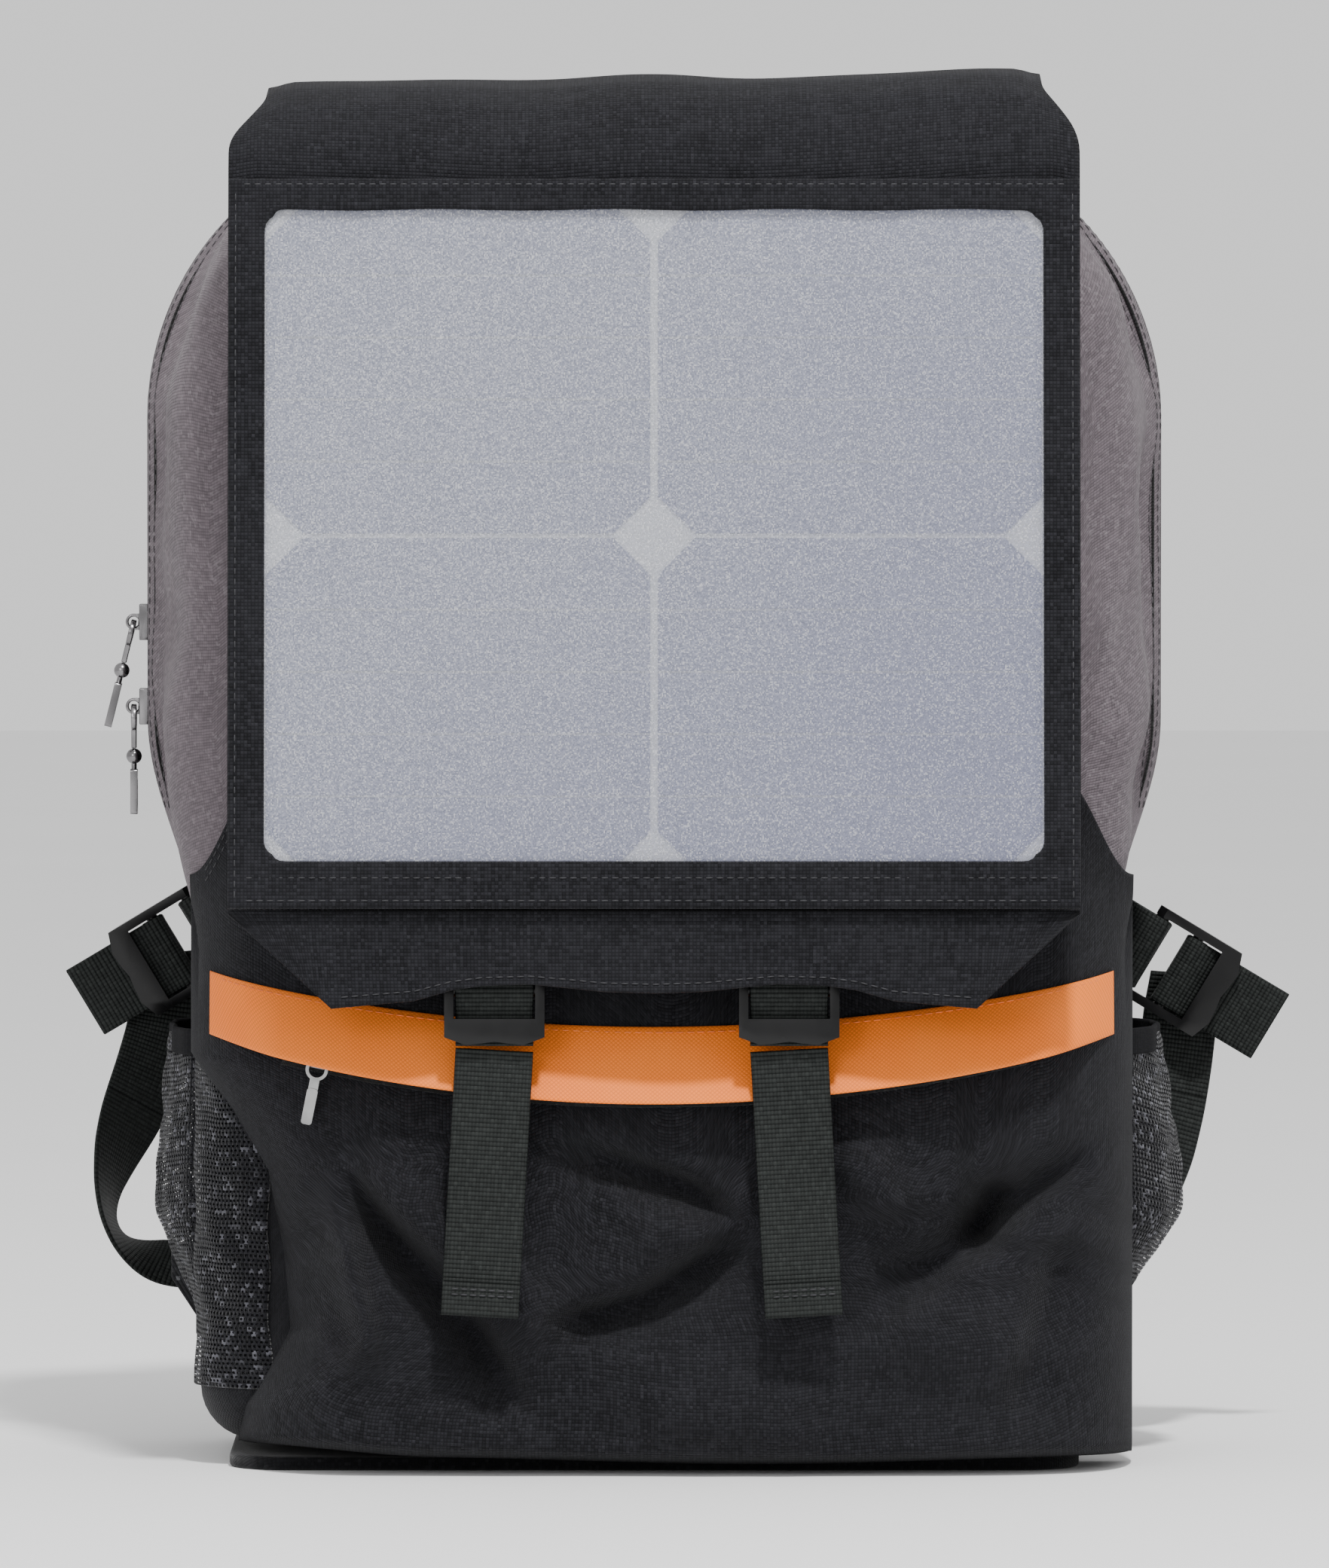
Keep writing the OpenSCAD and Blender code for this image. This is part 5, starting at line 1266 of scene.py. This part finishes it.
class BACKPACK_OT_shoulders(bpy.types.Operator):
    """Makes the padded shoulder straps, their side buckles and the webbing below them"""
    bl_idname = "backpack.shoulders"
    bl_label = "Shoulder straps"

    def pad(self, s, side, puff):
        """A strap pad: a rounded section carried down its path, pressed in along two sewn channels."""
        q = eased_path(PAD_PATH * [-s, 1, 1, 1], 2.2, 14)
        g = np.radians(np.linspace(0, 360, 64, endpoint=False))
        c, d = np.cos(g), np.sin(g)
        across = np.sign(c) * np.abs(c) ** 0.5
        rise = np.sign(d) * np.abs(d) ** 0.75
        rise = rise * (1 - (puff / 6.0) * (np.exp(-((np.abs(across) - 0.72) / 0.06) ** 2)))
        way = unit(np.gradient(q[:, :3], axis=0))
        a = unit(np.cross(way, [0.0, 1.0, 0.0]))
        f = np.cross(way, a)
        t = np.linspace(0, 1, len(q))
        thick = 5.8 * (1 - 0.35 * smooth((0.03 - t) / 0.03) - 0.35 * smooth((t - 0.97) / 0.03))
        pts = (q[:, None, :3] + a[:, None] * (31.0 * q[:, 3, None] * across)[..., None]
               + f[:, None] * (thick[:, None] * rise)[..., None])
        m, n = pts.shape[:2]
        caps = [list(range(n)), [(m - 1) * n + j for j in range(n)][::-1]]
        run = lengths_along(q[:, :3], 0)
        uv = np.stack(np.broadcast_arrays(31.0 * q[:, 3, None] * across, run[:, None]), -1)
        obj = piece("shoulder_foam_" + side, pts, band_quads(m, n, True), FINISH["air mesh"], "shoulder_" + side,
                    ["shoulder_pad_" + side], caps, uv)
        for e in (-1, 1):
            edge = q[:, :3] + a * (31.0 * q[:, 3:4] * e)
            p, quads, caps, uv = carry(tape_section(4.2, 2.6), edge, f)
            piece("shoulder_binding_%s_%s" % (side, "inner" if e < 0 else "outer"), p, quads, FINISH["binding"],
                  "shoulder_" + side, caps=caps, uv=uv)
        line = q[:, :3] + a * (31.0 * q[:, 3:4] * 0.72) + f * thick[:, None] * 0.5
        other = q[:, :3] - a * (31.0 * q[:, 3:4] * 0.72) + f * thick[:, None] * 0.5
        stitched("shoulder_stitches_" + side, [(line, f), (other, f)], "shoulder_" + side, FINISH["pale thread"],
                 2.5, 3.4, 0.5)

    def execute(self, context):
        wrap, loop = 2.0 + 0.4 + WEB_T / 2, 2.4 + 0.4 + WEB_T / 2
        reach = (26, 41)
        tails = ([(-1.7, -9), (-1.7, -19), (-1, -26), (1, -34)], [(-1.7, -9), (-1.7, -19), (-1, -28), (0, -36)])
        lower = (
            np.array([[-165.7, 94.8, 162, .52, 0, -.85, WEB_W], [-164, 96.5, 150, .75, .1, -.6, WEB_W],
                      [-166, 96, 136, .85, .2, -.45, WEB_W], [-171, 93, 121, .85, .35, -.45, WEB_W],
                      [-177, 89, 107, .75, .55, -.4, WEB_W], [-182, 85, 95, .55, .8, -.3, WEB_W],
                      [-185, 81, 84, .3, .95, -.1, WEB_W], [-185, 78, 74, .1, 1, 0, WEB_W],
                      [-181, 76, 66, 0, 1, .1, WEB_W], [-174, 75, 61.5, 0, .9, .35, 22],
                      [-166, 73.5, 59, 0, .6, .7, 18], [-156, 71.6, 57, 0, .15, 1, 14]]),
            np.array([[179.7, 94.8, 155, .52, 0, .85, WEB_W], [178, 96.5, 143, .8, .1, .5, WEB_W],
                      [176.5, 95, 128, .95, .2, .2, WEB_W], [174, 90, 112, 1, .25, 0, WEB_W],
                      [170, 84, 96, 1, .2, -.2, WEB_W], [165.5, 78, 82, 1, .1, -.3, 22],
                      [160, 73.5, 70, .9, 0, -.4, 18], [155, 71.8, 61, .8, 0, -.5, 13]]))
        for i, side in enumerate(("left", "right")):
            x, y, z, turn = LOCKS[i]
            here = lambda profile: placed(upright(profile), x, y, z, turn)
            width_way = placed(np.array([[1.0, 0, 0]]), 0, 0, 0, turn)[0]
            self.pad(1 if i == 0 else -1, side, context.scene.backpack_sizes.puff / MM)
            softened("side_lock_moulded_" + side, "side_lock_" + side, FINISH["buckle"], 0.7, 3)
            path = [(6.8, BAR_UP + reach[i]), (3.6, BAR_UP + 5)] + arc(0, BAR_UP, loop, 0, -180) + \
                [(-3.4, BAR_UP + 5), (2.6, BAR_UP + 11), (4.6, BAR_UP + reach[i] - 2)]
            webbing("pad_webbing_woven_" + side, here(path), width_way, "shoulder_" + side, FINISH["webbing"],
                    ["pad_webbing_" + side], passes=2)
            path = [(wrap, -4)] + arc(0, 0, wrap, 0, 180) + [(-wrap, -2)] + tails[i]
            webbing("side_web_woven_" + side, here(path), width_way, BODY_OF["side_web_" + side], FINISH["webbing"],
                    ["side_web_" + side], passes=2)
            # One path in two pieces, split at two fifths of its length; neither piece is attached to a body, and the
            # bodies listed with each are not used
            path = eased_path(lower[i], 1.2, 24)
            split = len(path) * 2 // 5
            ends = path[[0, split, -1], :3] * MM
            strap, lock = "shoulder_" + side, BODY_OF["side_web_" + side]
            for part, q, bodies, start, end, stands_for in (
                    ("lower", path[split:], ("bag", strap), ends[2], ends[1], ["lower_webbing_" + side]),
                    ("upper", path[:split + 1], (strap, lock), ends[1], ends[0], ())):
                made = webbing("%s_webbing_woven_%s" % (part, side), q[:, :3], q[:, 3:6], None, FINISH["webbing"],
                               stands_for, width=q[:, 6], passes=0, step=1.2)
                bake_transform(made)
        return {"FINISHED"}


class BACKPACK_OT_stage(bpy.types.Operator):
    """Makes the pale floor, the soft lights and the camera"""
    bl_idname = "backpack.stage"
    bl_label = "Stage"

    def lamp(self, name, place, aim, size, power):
        data = bpy.data.lights.new(name, "AREA")
        data.shape = "DISK"
        data.size, data.energy = size, power
        obj = bpy.data.objects.new(name, data)
        obj.location = place
        obj.rotation_euler = (Vector(aim) - Vector(place)).to_track_quat("-Z", "Y").to_euler()
        bpy.context.scene.collection.objects.link(obj)

    def execute(self, context):
        made, w, shader = finish_of("pale floor", 0.9, specular=0.1)
        place = w.node("ShaderNodeTexCoord").outputs["Object"]
        w.join(w.colour(w.noise(place, 3.0), (0.86, 0.86, 0.86, 1), (0.9, 0.9, 0.9, 1)), shader.inputs["Base Color"])
        mesh = bpy.data.meshes.new("floor")
        mesh.from_pydata([(-6, -6, 0), (6, -6, 0), (6, 6, 0), (-6, 6, 0)], [], [(0, 1, 2, 3)])
        mesh.materials.append(made)
        floor = bpy.data.objects.new("floor", mesh)
        floor.location = (0, 0, 0)
        context.scene.collection.objects.link(floor)
        world = bpy.data.worlds.new("white room")
        world.use_nodes = True
        world.node_tree.nodes["Background"].inputs[0].default_value = (1, 1, 1, 1)
        world.node_tree.nodes["Background"].inputs[1].default_value = 1.0
        context.scene.world = world
        self.lamp("key", (0.25, -1.15, 2.3), (0, -0.05, 0.22), 0.22, 62)
        self.lamp("left fill", (-0.9, -2.0, 0.9), (0, -0.05, 0.3), 0.8, 9)
        data = bpy.data.cameras.new("camera")
        aim, distance, lift = Vector((0.0034, -0.085, 0.227)), 5.0, math.radians(2.5)
        lens_per_metre = 70.37
        data.lens, data.sensor_width, data.sensor_fit = lens_per_metre * distance, 36.0, "AUTO"
        camera = bpy.data.objects.new("camera", data)
        camera.location = aim + Vector((0, -math.cos(lift), math.sin(lift))) * distance
        camera.rotation_euler = (aim - camera.location).to_track_quat("-Z", "Y").to_euler()
        context.scene.collection.objects.link(camera)
        context.scene.camera = camera
        return {"FINISHED"}


STEPS = (BACKPACK_OT_stage, BACKPACK_OT_body, BACKPACK_OT_main_zip, BACKPACK_OT_pocket, BACKPACK_OT_pocket_zip,
         BACKPACK_OT_sides, BACKPACK_OT_flap, BACKPACK_OT_panel, BACKPACK_OT_front_straps, BACKPACK_OT_back,
         BACKPACK_OT_shoulders)


class BACKPACK_PT_sidebar(bpy.types.Panel):
    """Lists the bag's colours, sizes and steps"""
    bl_idname = "BACKPACK_PT_sidebar"
    bl_label = "Solar backpack"
    bl_space_type = "VIEW_3D"
    bl_region_type = "UI"
    bl_category = "Backpack"

    def draw(self, context):
        for group_ in (context.scene.backpack_tones, context.scene.backpack_sizes):
            for name in group_.__annotations__:
                self.layout.prop(group_, name)
        for step in STEPS:
            self.layout.operator(step.bl_idname)


CLASSES = (BackpackTones, BackpackSizes) + STEPS + (BACKPACK_PT_sidebar,)


def register():
    for cls in CLASSES:
        bpy.utils.register_class(cls)
    bpy.types.Scene.backpack_tones = PointerProperty(type=BackpackTones)
    bpy.types.Scene.backpack_sizes = PointerProperty(type=BackpackSizes)


def unregister():
    del bpy.types.Scene.backpack_sizes
    del bpy.types.Scene.backpack_tones
    for cls in reversed(CLASSES):
        bpy.utils.unregister_class(cls)


def main():
    register()
    FINISH.update(make_finishes(bpy.context.scene.backpack_tones))
    for step in STEPS:
        tool, name = step.bl_idname.split(".")
        getattr(getattr(bpy.ops, tool), name)()


if __name__ == "__main__":
    main()
